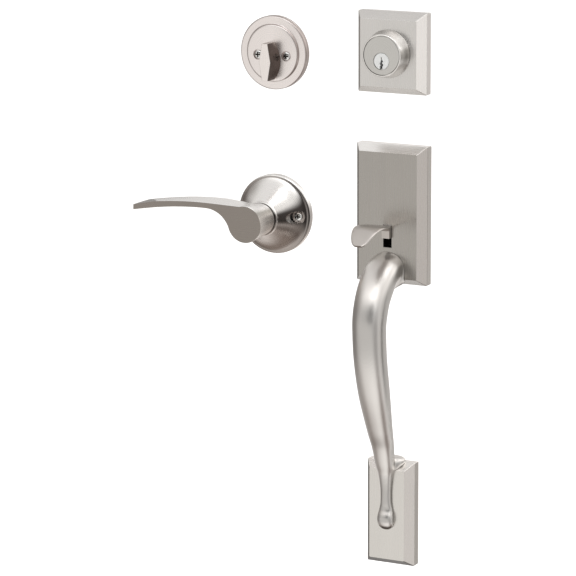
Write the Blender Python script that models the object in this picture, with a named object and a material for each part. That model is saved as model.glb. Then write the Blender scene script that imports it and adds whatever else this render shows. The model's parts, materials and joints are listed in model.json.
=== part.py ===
"""Entry door handleset: outside deadbolt, outside handle, inside thumbturn and inside lever.

The four groups face -Y, the door face they are screwed to is the plane y = 0, and what goes
into the door lies at y > 0. Each group hangs from its own empty. Lengths are in metres.
"""
import math

import bmesh
import bpy
import numpy as np
from mathutils import Matrix, Vector

MM = 0.001

# Clearances
SEAT = 0.3 * MM
RUNNING = 0.3 * MM
WELD = 0.001 * MM
PAST = 1.0 * MM  # how far a cutter runs past the face it opens

# Where the groups stand against the upper escutcheon's centre
BORE_SPACING = 139.7 * MM
HANDLE_SPAN = 266.1 * MM
INSIDE_OFFSET = -115.7 * MM
TURN_HEIGHT = 132.5 * MM
LEVER_HEIGHT = -10.1 * MM

# Escutcheon shells
UPPER_WIDTH = 66.8 * MM
UPPER_HEIGHT = 121.0 * MM
LOWER_WIDTH = 45.4 * MM
LOWER_HEIGHT = 93.2 * MM
BOLT_PLATE_WIDTH = 64.6 * MM
BOLT_PLATE_HEIGHT = 70.0 * MM
SIDE_WALL = 8.0 * MM
BEVEL_RUN = 5.9 * MM
BEVEL_RISE = 9.0 * MM
SHELL_WALL = 2.5 * MM
CORNER_RADIUS = 0.8 * MM
GROOVE_WIDTH = 1.0 * MM
GROOVE_DEPTH = 0.7 * MM
FACE_Y = -(SIDE_WALL + BEVEL_RISE)
INNER_FACE_Y = FACE_Y + SHELL_WALL
PAD_RADIUS = 3.5 * MM
RIB_WIDTH = 2.0 * MM
RIB_RELIEF = 2.0 * MM
THIN_COVER = 1.2 * MM

# Screws and posts
POST_RADIUS = 3.6 * MM
POST_BORE = 2.1 * MM
POST_REACH = 12.0 * MM
POST_BORE_DEPTH = 10.0 * MM
SCREW_RADIUS = 2.0 * MM
SCREW_HEAD_RADIUS = 3.6 * MM
SCREW_HEAD_HEIGHT = 2.2 * MM
SMALL_SCREW_RADIUS = 1.2 * MM
SMALL_HEAD_RADIUS = 2.4 * MM
SMALL_HEAD_HEIGHT = 1.4 * MM

# Upper escutcheon and its thumb piece
HANDLE_POST_OFFSET = 19.0 * MM
WINDOW_TOP = -7.9 * MM
WINDOW_HEIGHT = 20.0 * MM
TANG_WIDTH = 7.4 * MM
TANG_TOP_DROP = 0.4 * MM
TANG_HEIGHT = 11.0 * MM
PIVOT_DEPTH = 8.5 * MM
PIVOT_Z = -13.0 * MM
PIN_RADIUS = 1.5 * MM
EYE_RADIUS = 4.2 * MM
EYE_PROUD = 0.1 * MM
PAD_LENGTH = 57.0 * MM
PAD_WIDTH = 26.4 * MM
PAD_THICKNESS = 3.2 * MM
PAD_LIFT = 4.8 * MM
PAD_DISH = 0.6 * MM
PAD_SQUARENESS = 0.7
TAIL_LENGTH = 18.0 * MM
TAIL_WIDTH = 5.0 * MM
TAIL_HEIGHT = 3.6 * MM
BRACKET_GAUGE = 1.5 * MM
BRACKET_HEIGHT = 28.0 * MM
BRACKET_RISE = 0.8 * MM
BRACKET_WIDTH = 34.0 * MM
BRACKET_DEPTH = 5.0 * MM
BRACKET_SCREW_OFFSET = 12.5 * MM
THUMB_TRAVEL = math.radians(16)
THUMB_SPRING_WIRE = 0.9 * MM
THUMB_SPRING_ROOM = 3.2 * MM
THUMB_SPRING_SETBACK = 2.6 * MM
PIN_END = 0.8 * MM

# Grip handle
GRIP_STANDOFF = 35.5 * MM
GRIP_WIDTH = 30.0 * MM
GRIP_DEPTH = 22.0 * MM
GRIP_FOOT_DROP = 45.5 * MM
GRIP_END_DROP = 11.8 * MM
GRIP_SCREW_OFFSET = 8.0 * MM
GRIP_SCREW_BITE = 9.0 * MM
SADDLE_WIDTH = 28.4 * MM
SADDLE_OVERHANG = 4.6 * MM
SADDLE_LENGTH = 15.0 * MM
HEEL_WIDTH = 33.0 * MM
HEEL_FLARE = 10.0 * MM
HEEL_SQUARENESS = 3.6
STUD_RADIUS = 2.5 * MM
STUD_REACH = 20.0 * MM
STUD_BITE = 3.0 * MM
STUD_ABOVE_END = 9.5 * MM

# Outside deadbolt
COLLAR_ROOT_RADIUS = 20.7 * MM
COLLAR_FRONT_RADIUS = 17.6 * MM
COLLAR_LENGTH = 13.0 * MM
COLLAR_SPIGOT = 4.0 * MM
BARREL_FACE_RADIUS = 16.1 * MM
BARREL_RADIUS = 14.2 * MM
BARREL_LIP = 1.2 * MM
COLLAR_EDGE = 0.6 * MM
BARREL_FLANGE = 3.0 * MM
BARREL_BACK_Y = -5.0 * MM
PLUG_DROP = 4.8 * MM
PLUG_RADIUS = 6.4 * MM
KEYWAY_WIDTH = 1.5 * MM
KEYWAY_TOP = 3.2 * MM
PIN_COUNT = 5
PIN_PITCH = 3.96 * MM
FIRST_PIN_SETBACK = 4.6 * MM
CHAMBER_RADIUS = 1.6 * MM
DRIVER_LENGTH = 4.2 * MM
KEY_PIN_LENGTHS = [length * MM for length in (5.2, 4.3, 5.8, 4.7, 5.5)]
SPRING_WIRE_RADIUS = 0.18 * MM
SPRING_TURNS = 4
COVER_WIDTH = 5.0 * MM
COVER_SINK = 0.1 * MM
PIN_TIP = 0.9 * MM
SHEAR_PLAY = 0.1 * MM
CAP_RADIUS = 8.6 * MM
CAP_LENGTH = 3.6 * MM
CAP_ROOM = 1.8 * MM
TAILPIECE_HEAD = 0.6 * MM
TAILPIECE_WIDTH = 7.0 * MM
TAILPIECE_THICKNESS = 2.2 * MM
TAILPIECE_REACH = 36.0 * MM
BACK_PLATE_WIDTH = 38.0 * MM
BACK_PLATE_HEIGHT = 27.0 * MM
BACK_PLATE_GAUGE = 2.4 * MM
MOUNT_SCREW_OFFSET = 13.8 * MM
MOUNT_SCREW_RISE = 4.6 * MM
BACK_SCREW_OFFSET = 8.0 * MM
BACK_SCREW_BITE = 4.0 * MM
BACK_PLATE_CORNER = 6.0 * MM

# Inside thumbturn
TURN_ROSE_RADIUS = 32.3 * MM
TURN_ROSE_EDGE = 5.9 * MM
TURN_DOME_RADIUS = 25.0 * MM
TURN_DOME_RISE = 2.9 * MM
TURN_DROP = 6.6 * MM
KNOB_LENGTH = 32.4 * MM
KNOB_FRONT_WIDTH = 11.2 * MM
KNOB_BASE_WIDTH = 17.0 * MM
KNOB_END_WIDTH = 5.6 * MM
KNOB_HEIGHT = 13.6 * MM
KNOB_EDGE = 0.6 * MM
STEM_RADIUS = 5.6 * MM
STEM_ROOT = 2.0 * MM
STEM_REACH = 6.0 * MM
STEM_SLOT_DEPTH = 11.0 * MM
CLIP_GAUGE = 1.0 * MM
CLIP_BITE = 0.8 * MM
CLIP_RIM = 2.4 * MM
WASHER_GAUGE = 0.5 * MM
WASHER_WAVE = 0.3 * MM
TURN_SCREW_REACH = 28.0 * MM
TURN_ROSE_WALL = 2.0 * MM
HEAD_ROOM = 0.9 * MM

# Inside lever
LEVER_ROSE_RADIUS = 35.1 * MM
LEVER_ROSE_EDGE = 5.9 * MM
NECK_RADIUS = 15.2 * MM
NECK_FRONT = 30.4 * MM
NECK_BORE = 12.2 * MM
NECK_LIP = 1.0 * MM
FLARE_POWER = 1.45
FLARE_START = 1.9 * MM
FLARE_LIFT = 0.3 * MM
FLARE_END = 2.4 * MM
FLARE_BACK_POWER = 1.35
FLARE_BACK_START = 3.6 * MM
FLARE_BACK_END = 8.4 * MM
LEVER_SHELL = 2.2 * MM
LEVER_SCREW_OFFSET = 25.0 * MM
LEVER_POCKET_RADIUS = 5.4 * MM
LEVER_POCKET_FLOOR = 6.4 * MM
LEVER_SCREW_REACH = 14.0 * MM
MOUNT_PLATE_GAUGE = 1.9 * MM
MOUNT_PLATE_GAP = 0.4 * MM
RELEASE_HOLE_RADIUS = 1.1 * MM
HUB_GAP = 0.8 * MM
HUB_RADIUS = 16.2 * MM
HUB_REAR_RADIUS = 14.0 * MM
HUB_FRONT = 61.7 * MM
HUB_EDGE = 0.7 * MM
SPIGOT_LENGTH = 7.0 * MM
SOCKET_DEPTH = 20.0 * MM
SLEEVE_RADIUS = 8.6 * MM
SLEEVE_REACH = 8.0 * MM
SPINDLE_SIDE = 8.0 * MM
SPINDLE_REACH = 40.0 * MM
SPINDLE_BITE = 14.0 * MM
CATCH_RADIUS = 1.5 * MM
CATCH_BITE = 1.4 * MM
LEVER_LENGTH = 110.6 * MM
BLADE_THICKNESS = 5.3 * MM
BLADE_DEPTH = 27.0 * MM
BLADE_RISE = 13.9 * MM
BLADE_TAPER = 0.12
BLADE_TIP_CUT = 11.5 * MM
FACET_START = 24.0 * MM
FILLET_RADIUS = 24.0 * MM
CAGE_CLEARANCE = 0.8 * MM
CAGE_DEPTH = 8.4 * MM
CAGE_GAUGE = 1.2 * MM
CAGE_BORE_ROOM = 2.4 * MM
FLANGE_LAP = 1.4 * MM
RETURN_WIRE_RADIUS = 0.8 * MM
RETURN_TURNS = 3

# How finely round pieces are divided
ROSE_STEPS = 40
COLLAR_STEPS = 32
ROUND_STEPS = 20
SMALL_STEPS = 12
PIN_STEPS = 10


def clear_scene():
    for thing in list(bpy.data.objects):
        bpy.data.objects.remove(thing, do_unlink=True)


def metal(name, colour, roughness, metallic=1.0):
    """Principled material with the sub-part's own colour and polish."""
    material = bpy.data.materials.new(name)
    material.use_nodes = True
    shader = material.node_tree.nodes["Principled BSDF"]
    shader.inputs["Base Color"].default_value = (*colour, 1.0)
    shader.inputs["Roughness"].default_value = roughness
    shader.inputs["Metallic"].default_value = metallic
    return material


def group_empty(name, x, z):
    """Empty on the door face at a group's centre."""
    empty = bpy.data.objects.new(name, None)
    empty.location = (x, 0.0, z)
    bpy.context.scene.collection.objects.link(empty)
    return empty


def add_piece(name, bm, group, material, origin=(0.0, 0.0, 0.0), smooth=False):
    """Turns a bmesh in the group's coordinates into a named object with its own origin."""
    bmesh.ops.remove_doubles(bm, verts=bm.verts, dist=WELD)
    bmesh.ops.translate(bm, verts=bm.verts, vec=-Vector(origin))
    mesh = bpy.data.meshes.new(name)
    bm.to_mesh(mesh)
    bm.free()
    mesh.materials.append(material)
    piece = bpy.data.objects.new(name, mesh)
    bpy.context.scene.collection.objects.link(piece)
    piece.parent = group
    piece.location = origin
    if smooth:
        mesh.shade_smooth()
        mesh.set_sharp_from_angle(angle=math.radians(35))
    return piece


def skin(bm, near, far):
    """Band of faces between two rings with as many corners each."""
    pairs = list(zip(near, far))
    for (a, b), (c, d) in zip(pairs, pairs[1:] + pairs[:1]):
        bm.faces.new((a, c, d, b))


def loft(rings):
    """Solid through a row of rings of points, closed with a flat cap at each end."""
    bm = bmesh.new()
    loops = [[bm.verts.new(point) for point in ring] for ring in rings]
    for near, far in zip(loops, loops[1:]):
        skin(bm, near, far)
    bm.faces.new(loops[0])
    bm.faces.new(loops[-1])
    bmesh.ops.recalc_face_normals(bm, faces=bm.faces)
    return bm


def revolve(profile, steps, ring=False):
    """Turns (radius, y) points about the Y axis; a ring profile joins its end to its start."""
    bm = bmesh.new()
    points = [bm.verts.new((radius, y, 0.0)) for radius, y in profile]
    edges = [bm.edges.new(pair) for pair in zip(points, points[1:])]
    if ring:
        edges.append(bm.edges.new((points[-1], points[0])))
    bmesh.ops.spin(bm, geom=points + edges, cent=(0, 0, 0), axis=(0, 1, 0), dvec=(0, 0, 0),
                   angle=math.tau, steps=steps, use_merge=True, use_duplicate=False)
    bmesh.ops.remove_doubles(bm, verts=bm.verts, dist=WELD)
    bmesh.ops.recalc_face_normals(bm, faces=bm.faces)
    return bm


def rod(start, end, radius, steps=SMALL_STEPS):
    """Round bar between two points."""
    start, end = Vector(start), Vector(end)
    bm = bmesh.new()
    turn = (end - start).to_track_quat("Z", "Y").to_matrix().to_4x4()
    place = Matrix.Translation((start + end) / 2) @ turn
    bmesh.ops.create_cone(bm, cap_ends=True, segments=steps, radius1=radius, radius2=radius,
                          depth=(end - start).length, matrix=place)
    return bm


def rod_y(x, z, back, front, radius, steps=SMALL_STEPS):
    """Round bar square to the door."""
    return rod((x, back, z), (x, front, z), radius, steps)


def block(x, y, z):
    """Box between (low, high) pairs on each axis."""
    bm = bmesh.new()
    middle = [(low + high) / 2 for low, high in (x, y, z)]
    size = [abs(high - low) for low, high in (x, y, z)]
    place = Matrix.Translation(middle) @ Matrix.Diagonal((*size, 1.0))
    bmesh.ops.create_cube(bm, size=1.0, matrix=place)
    return bm


def prism_x(outline, half_width):
    """Solid of a (y, z) outline, as wide as twice half_width."""
    bm = bmesh.new()
    corners = [bm.verts.new((-half_width, y, z)) for y, z in outline]
    face = bm.faces.new(corners)
    grown = bmesh.ops.extrude_face_region(bm, geom=[face])
    moved = [item for item in grown["geom"] if isinstance(item, bmesh.types.BMVert)]
    bmesh.ops.translate(bm, verts=moved, vec=(2 * half_width, 0, 0))
    bmesh.ops.recalc_face_normals(bm, faces=bm.faces)
    return bm


def moved(bm, x=0.0, y=0.0, z=0.0):
    bmesh.ops.translate(bm, verts=bm.verts, vec=(x, y, z))
    return bm


def scratch_object(bm):
    mesh = bpy.data.meshes.new("scratch")
    bm.to_mesh(mesh)
    bm.free()
    thing = bpy.data.objects.new("scratch", mesh)
    bpy.context.scene.collection.objects.link(thing)
    return thing


def combine(base, tool, operation):
    """Exact Boolean of two closed bmesh solids; both are used up."""
    body = scratch_object(base)
    other = scratch_object(tool)
    modifier = body.modifiers.new("Boolean", "BOOLEAN")
    modifier.operation = operation
    modifier.solver = "EXACT"
    modifier.object = other
    evaluated = body.evaluated_get(bpy.context.evaluated_depsgraph_get())
    result = bmesh.new()
    result.from_mesh(evaluated.to_mesh())
    evaluated.to_mesh_clear()
    for thing in (body, other):
        mesh = thing.data
        bpy.data.objects.remove(thing, do_unlink=True)
        bpy.data.meshes.remove(mesh)
    bmesh.ops.remove_doubles(result, verts=result.verts, dist=WELD)
    return result


def joined(base, *tools):
    for tool in tools:
        base = combine(base, tool, "UNION")
    return base


def cut(base, *tools):
    for tool in tools:
        base = combine(base, tool, "DIFFERENCE")
    return base


def plate_ring(half_width, half_height, y, radius=CORNER_RADIUS, steps=2):
    """Rounded rectangle in a plane square to Y."""
    points = []
    for quarter in range(4):
        corner_x = (half_width - radius) * (1 if quarter in (0, 3) else -1)
        corner_z = (half_height - radius) * (1 if quarter < 2 else -1)
        for step in range(steps + 1):
            angle = math.pi / 2 * (quarter + step / steps)
            points.append((corner_x + radius * math.cos(angle), y,
                           corner_z + radius * math.sin(angle)))
    return points


def escutcheon_shell(width, height):
    """Bevelled escutcheon: side wall, fine groove, bevel and flat face, open at the back."""
    half_w, half_h = width / 2, height / 2
    steps = [(0, 0), (0, -(SIDE_WALL - GROOVE_WIDTH)),
             (GROOVE_DEPTH, -(SIDE_WALL - GROOVE_WIDTH / 2)), (0, -SIDE_WALL),
             (BEVEL_RUN, FACE_Y)]
    inner = [(BEVEL_RUN + SHELL_WALL, INNER_FACE_Y),
             (SHELL_WALL, -(SIDE_WALL - GROOVE_WIDTH)), (SHELL_WALL, 0)]
    outside = [plate_ring(half_w - inset, half_h - inset, y) for inset, y in steps]
    inside = [plate_ring(half_w - inset, half_h - inset, y) for inset, y in inner]
    bm = bmesh.new()
    outside = [[bm.verts.new(point) for point in ring] for ring in outside]
    inside = [[bm.verts.new(point) for point in ring] for ring in inside]
    for loops in (outside, inside):
        for near, far in zip(loops, loops[1:]):
            skin(bm, near, far)
    skin(bm, inside[-1], outside[0])
    bm.faces.new(outside[-1])
    bm.faces.new(inside[0])
    bmesh.ops.recalc_face_normals(bm, faces=bm.faces)
    return bm


def plate_envelope(width, height, clearance):
    """Solid of an escutcheon's outside, grown by a clearance, to cut seats with."""
    half_w, half_h = width / 2 + clearance, height / 2 + clearance
    slope = math.hypot(BEVEL_RUN, BEVEL_RISE)
    shoulder = -SIDE_WALL - clearance * (slope - BEVEL_RISE) / BEVEL_RUN
    top = FACE_Y - clearance
    run = BEVEL_RUN * (shoulder - top) / BEVEL_RISE
    return loft([plate_ring(half_w, half_h, SIDE_WALL), plate_ring(half_w, half_h, shoulder),
                 plate_ring(half_w - run, half_h - run, top)])


def seat_pad(x, z, start_y, radius=PAD_RADIUS):
    """Cast pad that meets the door face."""
    return rod_y(x, z, start_y, 0.0, radius, ROUND_STEPS // 2)


def helix(radius, pitch_rise, turns, wire, steps, sides, axis="Z"):
    """Coil spring about an axis through the origin, starting at zero."""
    count = int(turns * steps) + 1
    rings = []
    for index in range(count):
        angle = math.tau * index / steps
        rise = pitch_rise * turns * index / (count - 1)
        outward = Vector((math.cos(angle), math.sin(angle), 0))
        centre = outward * radius + Vector((0, 0, rise))
        ring = []
        for side in range(sides):
            around = math.tau * side / sides
            ring.append(centre + outward * wire * math.cos(around)
                        + Vector((0, 0, wire * math.sin(around))))
        rings.append(ring)
    bm = loft(rings)
    turn = {"Z": Matrix.Identity(3), "Y": Matrix.Rotation(-math.pi / 2, 3, "X"),
            "X": Matrix.Rotation(math.pi / 2, 3, "Y")}[axis]
    bmesh.ops.rotate(bm, verts=bm.verts, cent=(0, 0, 0), matrix=turn)
    return bm


def screw(x, z, head_y, tip_y, head_radius, head_height, shank_radius):
    """Low-domed screw square to the door, its head ending at head_y."""
    way = 1 if tip_y > head_y else -1
    crown = head_y + way * 0.35 * head_height
    seat = head_y + way * head_height
    profile = [(0, head_y), (0.7 * head_radius, head_y), (head_radius, crown),
               (head_radius, seat), (shank_radius, seat), (shank_radius, tip_y), (0, tip_y)]
    return moved(revolve(profile, SMALL_STEPS), x=x, z=z)


def post(x, z, front_y, shoulder_y=None, stub_radius=0.0):
    """Threaded post that reaches into the door, with a blind bore from its far end."""
    profile = []
    if shoulder_y is not None:
        profile += [(0, front_y), (stub_radius, front_y), (stub_radius, shoulder_y)]
        profile += [(POST_RADIUS, shoulder_y)]
    else:
        profile += [(0, front_y), (POST_RADIUS, front_y)]
    profile += [(POST_RADIUS, POST_REACH), (POST_BORE, POST_REACH),
                (POST_BORE, POST_REACH - POST_BORE_DEPTH), (0, POST_REACH - POST_BORE_DEPTH)]
    return moved(revolve(profile, SMALL_STEPS), x=x, z=z)


def spline(points, per_span):
    """Smooth Catmull-Rom curve through rows of numbers."""
    rows = np.array(points, float)
    padded = np.vstack([2 * rows[0] - rows[1], rows, 2 * rows[-1] - rows[-2]])
    curve = []
    for index in range(len(rows) - 1):
        a, b, c, d = padded[index:index + 4]
        for step in range(per_span):
            t = step / per_span
            curve.append(0.5 * (2 * b + (c - a) * t + (2 * a - 5 * b + 4 * c - d) * t * t
                                + (3 * b - a - 3 * c + d) * t ** 3))
    curve.append(rows[-1])
    return np.array(curve)


def upper_escutcheon(group, material):
    shell = escutcheon_shell(UPPER_WIDTH, UPPER_HEIGHT)
    rib_half = UPPER_WIDTH / 2 - BEVEL_RUN - SHELL_WALL / 2
    rib = block((-rib_half, rib_half), (INNER_FACE_Y - SHELL_WALL / 2, -SIDE_WALL + RIB_RELIEF),
                (-RIB_WIDTH / 2, RIB_WIDTH / 2))
    start = INNER_FACE_Y - SHELL_WALL / 2
    posts = [rod_y(side * HANDLE_POST_OFFSET, 0, start, -THIN_COVER,
                   POST_RADIUS + SHELL_WALL, ROUND_STEPS) for side in (-1, 1)]
    bracket_top = -BRACKET_DEPTH - BRACKET_GAUGE - SEAT
    bosses = [rod_y(side * BRACKET_SCREW_OFFSET, PIVOT_Z, start, bracket_top,
                    SMALL_HEAD_RADIUS + SEAT, SMALL_STEPS) for side in (-1, 1)]
    shell = joined(shell, rib, seat_pad(0, 0, start), *posts, *bosses)
    window = block((-TANG_WIDTH / 2 - RUNNING, TANG_WIDTH / 2 + RUNNING),
                   (FACE_Y - SHELL_WALL, INNER_FACE_Y + SHELL_WALL),
                   (WINDOW_TOP - WINDOW_HEIGHT, WINDOW_TOP))
    post_holes = [rod_y(side * HANDLE_POST_OFFSET, 0, INNER_FACE_Y + THIN_COVER, PAST,
                        POST_RADIUS + SEAT) for side in (-1, 1)]
    bracket_holes = [rod_y(side * BRACKET_SCREW_OFFSET, PIVOT_Z, INNER_FACE_Y + THIN_COVER,
                           PAST, SMALL_SCREW_RADIUS + SEAT, PIN_STEPS) for side in (-1, 1)]
    grip_holes = [rod_y(side * GRIP_SCREW_OFFSET, -GRIP_FOOT_DROP, FACE_Y - SHELL_WALL,
                        INNER_FACE_Y + SHELL_WALL, SCREW_RADIUS + SEAT) for side in (-1, 1)]
    shell = cut(shell, window, *post_holes, *bracket_holes, *grip_holes)
    add_piece("upper_escutcheon", shell, group, material)
    for side, label in ((-1, "left"), (1, "right")):
        x = side * HANDLE_POST_OFFSET
        add_piece(f"handle_post_{label}", post(x, 0, INNER_FACE_Y + THIN_COVER + SEAT), group,
                  STEEL, origin=(x, 0, 0), smooth=True)
        x = side * GRIP_SCREW_OFFSET
        head_y = INNER_FACE_Y + SEAT + SCREW_HEAD_HEIGHT
        bm = screw(x, -GRIP_FOOT_DROP, head_y, FACE_Y - GRIP_SCREW_BITE, SCREW_HEAD_RADIUS,
                   SCREW_HEAD_HEIGHT, SCREW_RADIUS)
        add_piece(f"grip_screw_{label}", bm, group, ZINC, origin=(x, 0, -GRIP_FOOT_DROP),
                  smooth=True)


def thumb_outline():
    """Side view of the neck, tang and tail end about the pivot, as (y, z) points."""
    tang_top = WINDOW_TOP - TANG_TOP_DROP
    tang_foot = tang_top - TANG_HEIGHT
    pad_under = tang_top + 0.5 * PAD_LIFT - PAD_THICKNESS
    root = FACE_Y - 0.22 * PAD_LENGTH
    throat = FACE_Y - 0.09 * PAD_LENGTH
    nose = FACE_Y - 0.05 * PAD_LENGTH
    rear = -PIVOT_DEPTH - EYE_RADIUS * 0.3
    return [(root, pad_under), (throat, tang_foot * 0.4 + pad_under * 0.6), (nose, tang_foot),
            (INNER_FACE_Y, tang_foot), (rear, PIVOT_Z - EYE_RADIUS * 0.9),
            (rear, PIVOT_Z + EYE_RADIUS * 0.9), (INNER_FACE_Y, tang_top), (nose, tang_top)]


def pad_stations():
    """How far along, how high and how wide the thumb pad is, from its neck to its tip."""
    return spline([(0.0, 0.0, 0.28), (0.07, 0.13, 0.38), (0.19, 0.44, 0.61), (0.33, 0.74, 0.8),
                   (0.47, 0.97, 0.95), (0.57, 1.06, 1.0), (0.68, 1.0, 0.96), (0.78, 0.67, 0.88),
                   (0.86, 0.1, 0.76), (0.92, -0.5, 0.62), (0.97, -1.05, 0.44),
                   (1.0, -1.4, 0.24)], 2)


def pad_rings(sides=16):
    """Cross sections of the dished thumb pad, square to its curve."""
    tang_top = WINDOW_TOP - TANG_TOP_DROP
    rows = pad_stations()
    rings = []
    for index, (along, lift, width) in enumerate(rows):
        before, after = rows[max(index - 1, 0)], rows[min(index + 1, len(rows) - 1)]
        tangent = Vector((0, -(after[0] - before[0]) * PAD_LENGTH,
                          (after[1] - before[1]) * PAD_LIFT)).normalized()
        up = Vector((0, tangent.z, -tangent.y))
        centre = Vector((0, FACE_Y - RUNNING - along * PAD_LENGTH,
                         tang_top - PAD_THICKNESS / 2 - PAD_DISH / 2 + lift * PAD_LIFT))
        half = width * PAD_WIDTH / 2
        thick = PAD_THICKNESS * (1.0 if along < 0.9 else 1.0 - 3.0 * (along - 0.9))
        ring = []
        for step in range(sides):
            angle = math.tau * step / sides
            side, rise = math.cos(angle), math.sin(angle)
            across = math.copysign(abs(side) ** PAD_SQUARENESS, side)
            over = thick / 2 * math.copysign(abs(rise) ** PAD_SQUARENESS, rise)
            ring.append(centre + Vector((half * across, 0, 0))
                        + up * (over + PAD_DISH * width * across ** 2))
        rings.append(ring)
    return rings


def thumb_piece(group, material):
    eye_half = TANG_WIDTH / 2
    web = prism_x(thumb_outline(), eye_half - EYE_PROUD)
    pivot = (-PIVOT_DEPTH, PIVOT_Z)
    eye = rod((-eye_half, *pivot), (eye_half, *pivot), EYE_RADIUS, ROUND_STEPS)
    tail = block((-TAIL_WIDTH / 2, TAIL_WIDTH / 2), (-PIVOT_DEPTH, TAIL_LENGTH),
                 (PIVOT_Z - TAIL_HEIGHT / 2, PIVOT_Z + TAIL_HEIGHT / 2))
    bm = joined(loft(pad_rings()), web, eye, tail)
    hole = rod((-2 * eye_half, *pivot), (2 * eye_half, *pivot), PIN_RADIUS + RUNNING)
    spring_room = block((eye_half - THUMB_SPRING_ROOM, eye_half + PAST),
                        (-PIVOT_DEPTH - EYE_RADIUS - PAST, -PIVOT_DEPTH + EYE_RADIUS + PAST),
                        (PIVOT_Z - EYE_RADIUS - PAST, PIVOT_Z + EYE_RADIUS + PAST))
    bm = cut(bm, hole, spring_room)
    add_piece("thumb_piece", bm, group, material, origin=(0, *pivot))


def thumb_bracket(group, material):
    """Stamped channel behind the window that carries the pivot pin."""
    ear_in = TANG_WIDTH / 2 + RUNNING
    ear_out = ear_in + BRACKET_GAUGE
    web_back, web_front = -BRACKET_DEPTH, -BRACKET_DEPTH - BRACKET_GAUGE
    z_range = (WINDOW_TOP + BRACKET_RISE - BRACKET_HEIGHT, WINDOW_TOP + BRACKET_RISE)
    ear_z = (PIVOT_Z - EYE_RADIUS, PIVOT_Z + EYE_RADIUS)
    web = block((-BRACKET_WIDTH / 2, BRACKET_WIDTH / 2), (web_front, web_back), z_range)
    ears = [block((side * ear_in, side * ear_out) if side > 0 else (-ear_out, -ear_in),
                  (INNER_FACE_Y + SEAT, web_back - BRACKET_GAUGE / 2), ear_z)
            for side in (-1, 1)]
    rise = math.sin(THUMB_TRAVEL) * (PIVOT_DEPTH - BRACKET_DEPTH + 2 * BRACKET_GAUGE)
    room = EYE_RADIUS + RUNNING
    slot = block((-ear_in, ear_in), (web_front - PAST, web_back + PAST),
                 (PIVOT_Z - room, PIVOT_Z + room + rise))
    pin_hole = rod((-BRACKET_WIDTH, -PIVOT_DEPTH, PIVOT_Z), (BRACKET_WIDTH, -PIVOT_DEPTH, PIVOT_Z),
                   PIN_RADIUS + SEAT)
    screw_holes = [rod_y(side * BRACKET_SCREW_OFFSET, PIVOT_Z, web_front - PAST, web_back + PAST,
                         SMALL_SCREW_RADIUS + SEAT, PIN_STEPS) for side in (-1, 1)]
    bm = cut(joined(web, *ears), slot, pin_hole, *screw_holes)
    add_piece("thumb_bracket", bm, group, material)
    for side, label in ((-1, "left"), (1, "right")):
        x = side * BRACKET_SCREW_OFFSET
        tip = INNER_FACE_Y + THIN_COVER + SEAT
        bm = screw(x, PIVOT_Z, web_back + SEAT + SMALL_HEAD_HEIGHT, tip, SMALL_HEAD_RADIUS,
                   SMALL_HEAD_HEIGHT, SMALL_SCREW_RADIUS)
        add_piece(f"bracket_screw_{label}", bm, group, ZINC, origin=(x, 0, PIVOT_Z), smooth=True)
    reach = ear_out + PIN_END
    pin = rod((-reach, -PIVOT_DEPTH, PIVOT_Z), (reach, -PIVOT_DEPTH, PIVOT_Z), PIN_RADIUS)
    add_piece("thumb_pivot_pin", pin, group, STEEL, origin=(0, -PIVOT_DEPTH, PIVOT_Z),
              smooth=True)
    wire = THUMB_SPRING_WIRE / 2
    coil = helix(PIN_RADIUS + RUNNING + wire, 2.6 * wire, 2, wire, 10, 4, axis="X")
    moved(coil, x=TANG_WIDTH / 2 - THUMB_SPRING_SETBACK, y=-PIVOT_DEPTH, z=PIVOT_Z)
    add_piece("thumb_spring", coil, group, STEEL, origin=(0, -PIVOT_DEPTH, PIVOT_Z), smooth=True)


def grip_stations():
    """Centre line and section of the grip: (z, standoff, width, depth), foot to tail end."""
    foot_z = -GRIP_FOOT_DROP
    edge_z = -HANDLE_SPAN + LOWER_HEIGHT / 2
    end_z = -HANDLE_SPAN - GRIP_END_DROP
    arm = [(0.0, 0.0, 1.03, 1.12), (0.004, 0.11, 1.03, 1.12), (0.014, 0.24, 1.03, 1.11),
           (0.043, 0.465, 1.03, 1.09), (0.089, 0.676, 1.03, 1.07), (0.141, 0.845, 1.01, 1.04),
           (0.204, 0.958, 1.0, 1.02), (0.273, 1.0, 0.98, 0.99), (0.428, 0.932, 0.967, 0.98),
           (0.612, 0.715, 0.92, 0.93), (0.796, 0.42, 0.767, 0.76), (0.9, 0.225, 0.66, 0.66)]
    tail = [(0.0, 0.1, 0.56, 0.55), (0.16, 0.055, 0.43, 0.43), (0.38, 0.034, 0.34, 0.33),
            (0.58, 0.032, 0.34, 0.30), (0.7, 0.028, 0.43, 0.27), (0.82, 0.06, 0.51, 0.40),
            (0.91, 0.05, 0.49, 0.38), (0.97, 0.015, 0.36, 0.27), (1.0, -0.02, 0.14, 0.14)]
    rows = [(-0.002, -0.14, 1.03, 1.12)] + arm
    points = [(foot_z + t * (edge_z - foot_z), out, wide, deep) for t, out, wide, deep in rows]
    points += [(edge_z + t * (end_z - edge_z), out, wide, deep) for t, out, wide, deep in tail]
    scale = np.array([1.0, GRIP_STANDOFF, GRIP_WIDTH, GRIP_DEPTH])
    return np.array(points) * scale


def grip_section(centre, normal, width, depth, sides=18, squareness=2.5):
    """Softly squared oval across the grip."""
    ring = []
    for step in range(sides):
        angle = math.tau * (step + 0.5) / sides
        across, out = math.cos(angle), math.sin(angle)
        size = (abs(across) ** squareness + abs(out) ** squareness) ** (-1 / squareness)
        ring.append(centre + Vector((width / 2 * size * across, 0, 0))
                    + normal * depth / 2 * size * out)
    return ring


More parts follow.
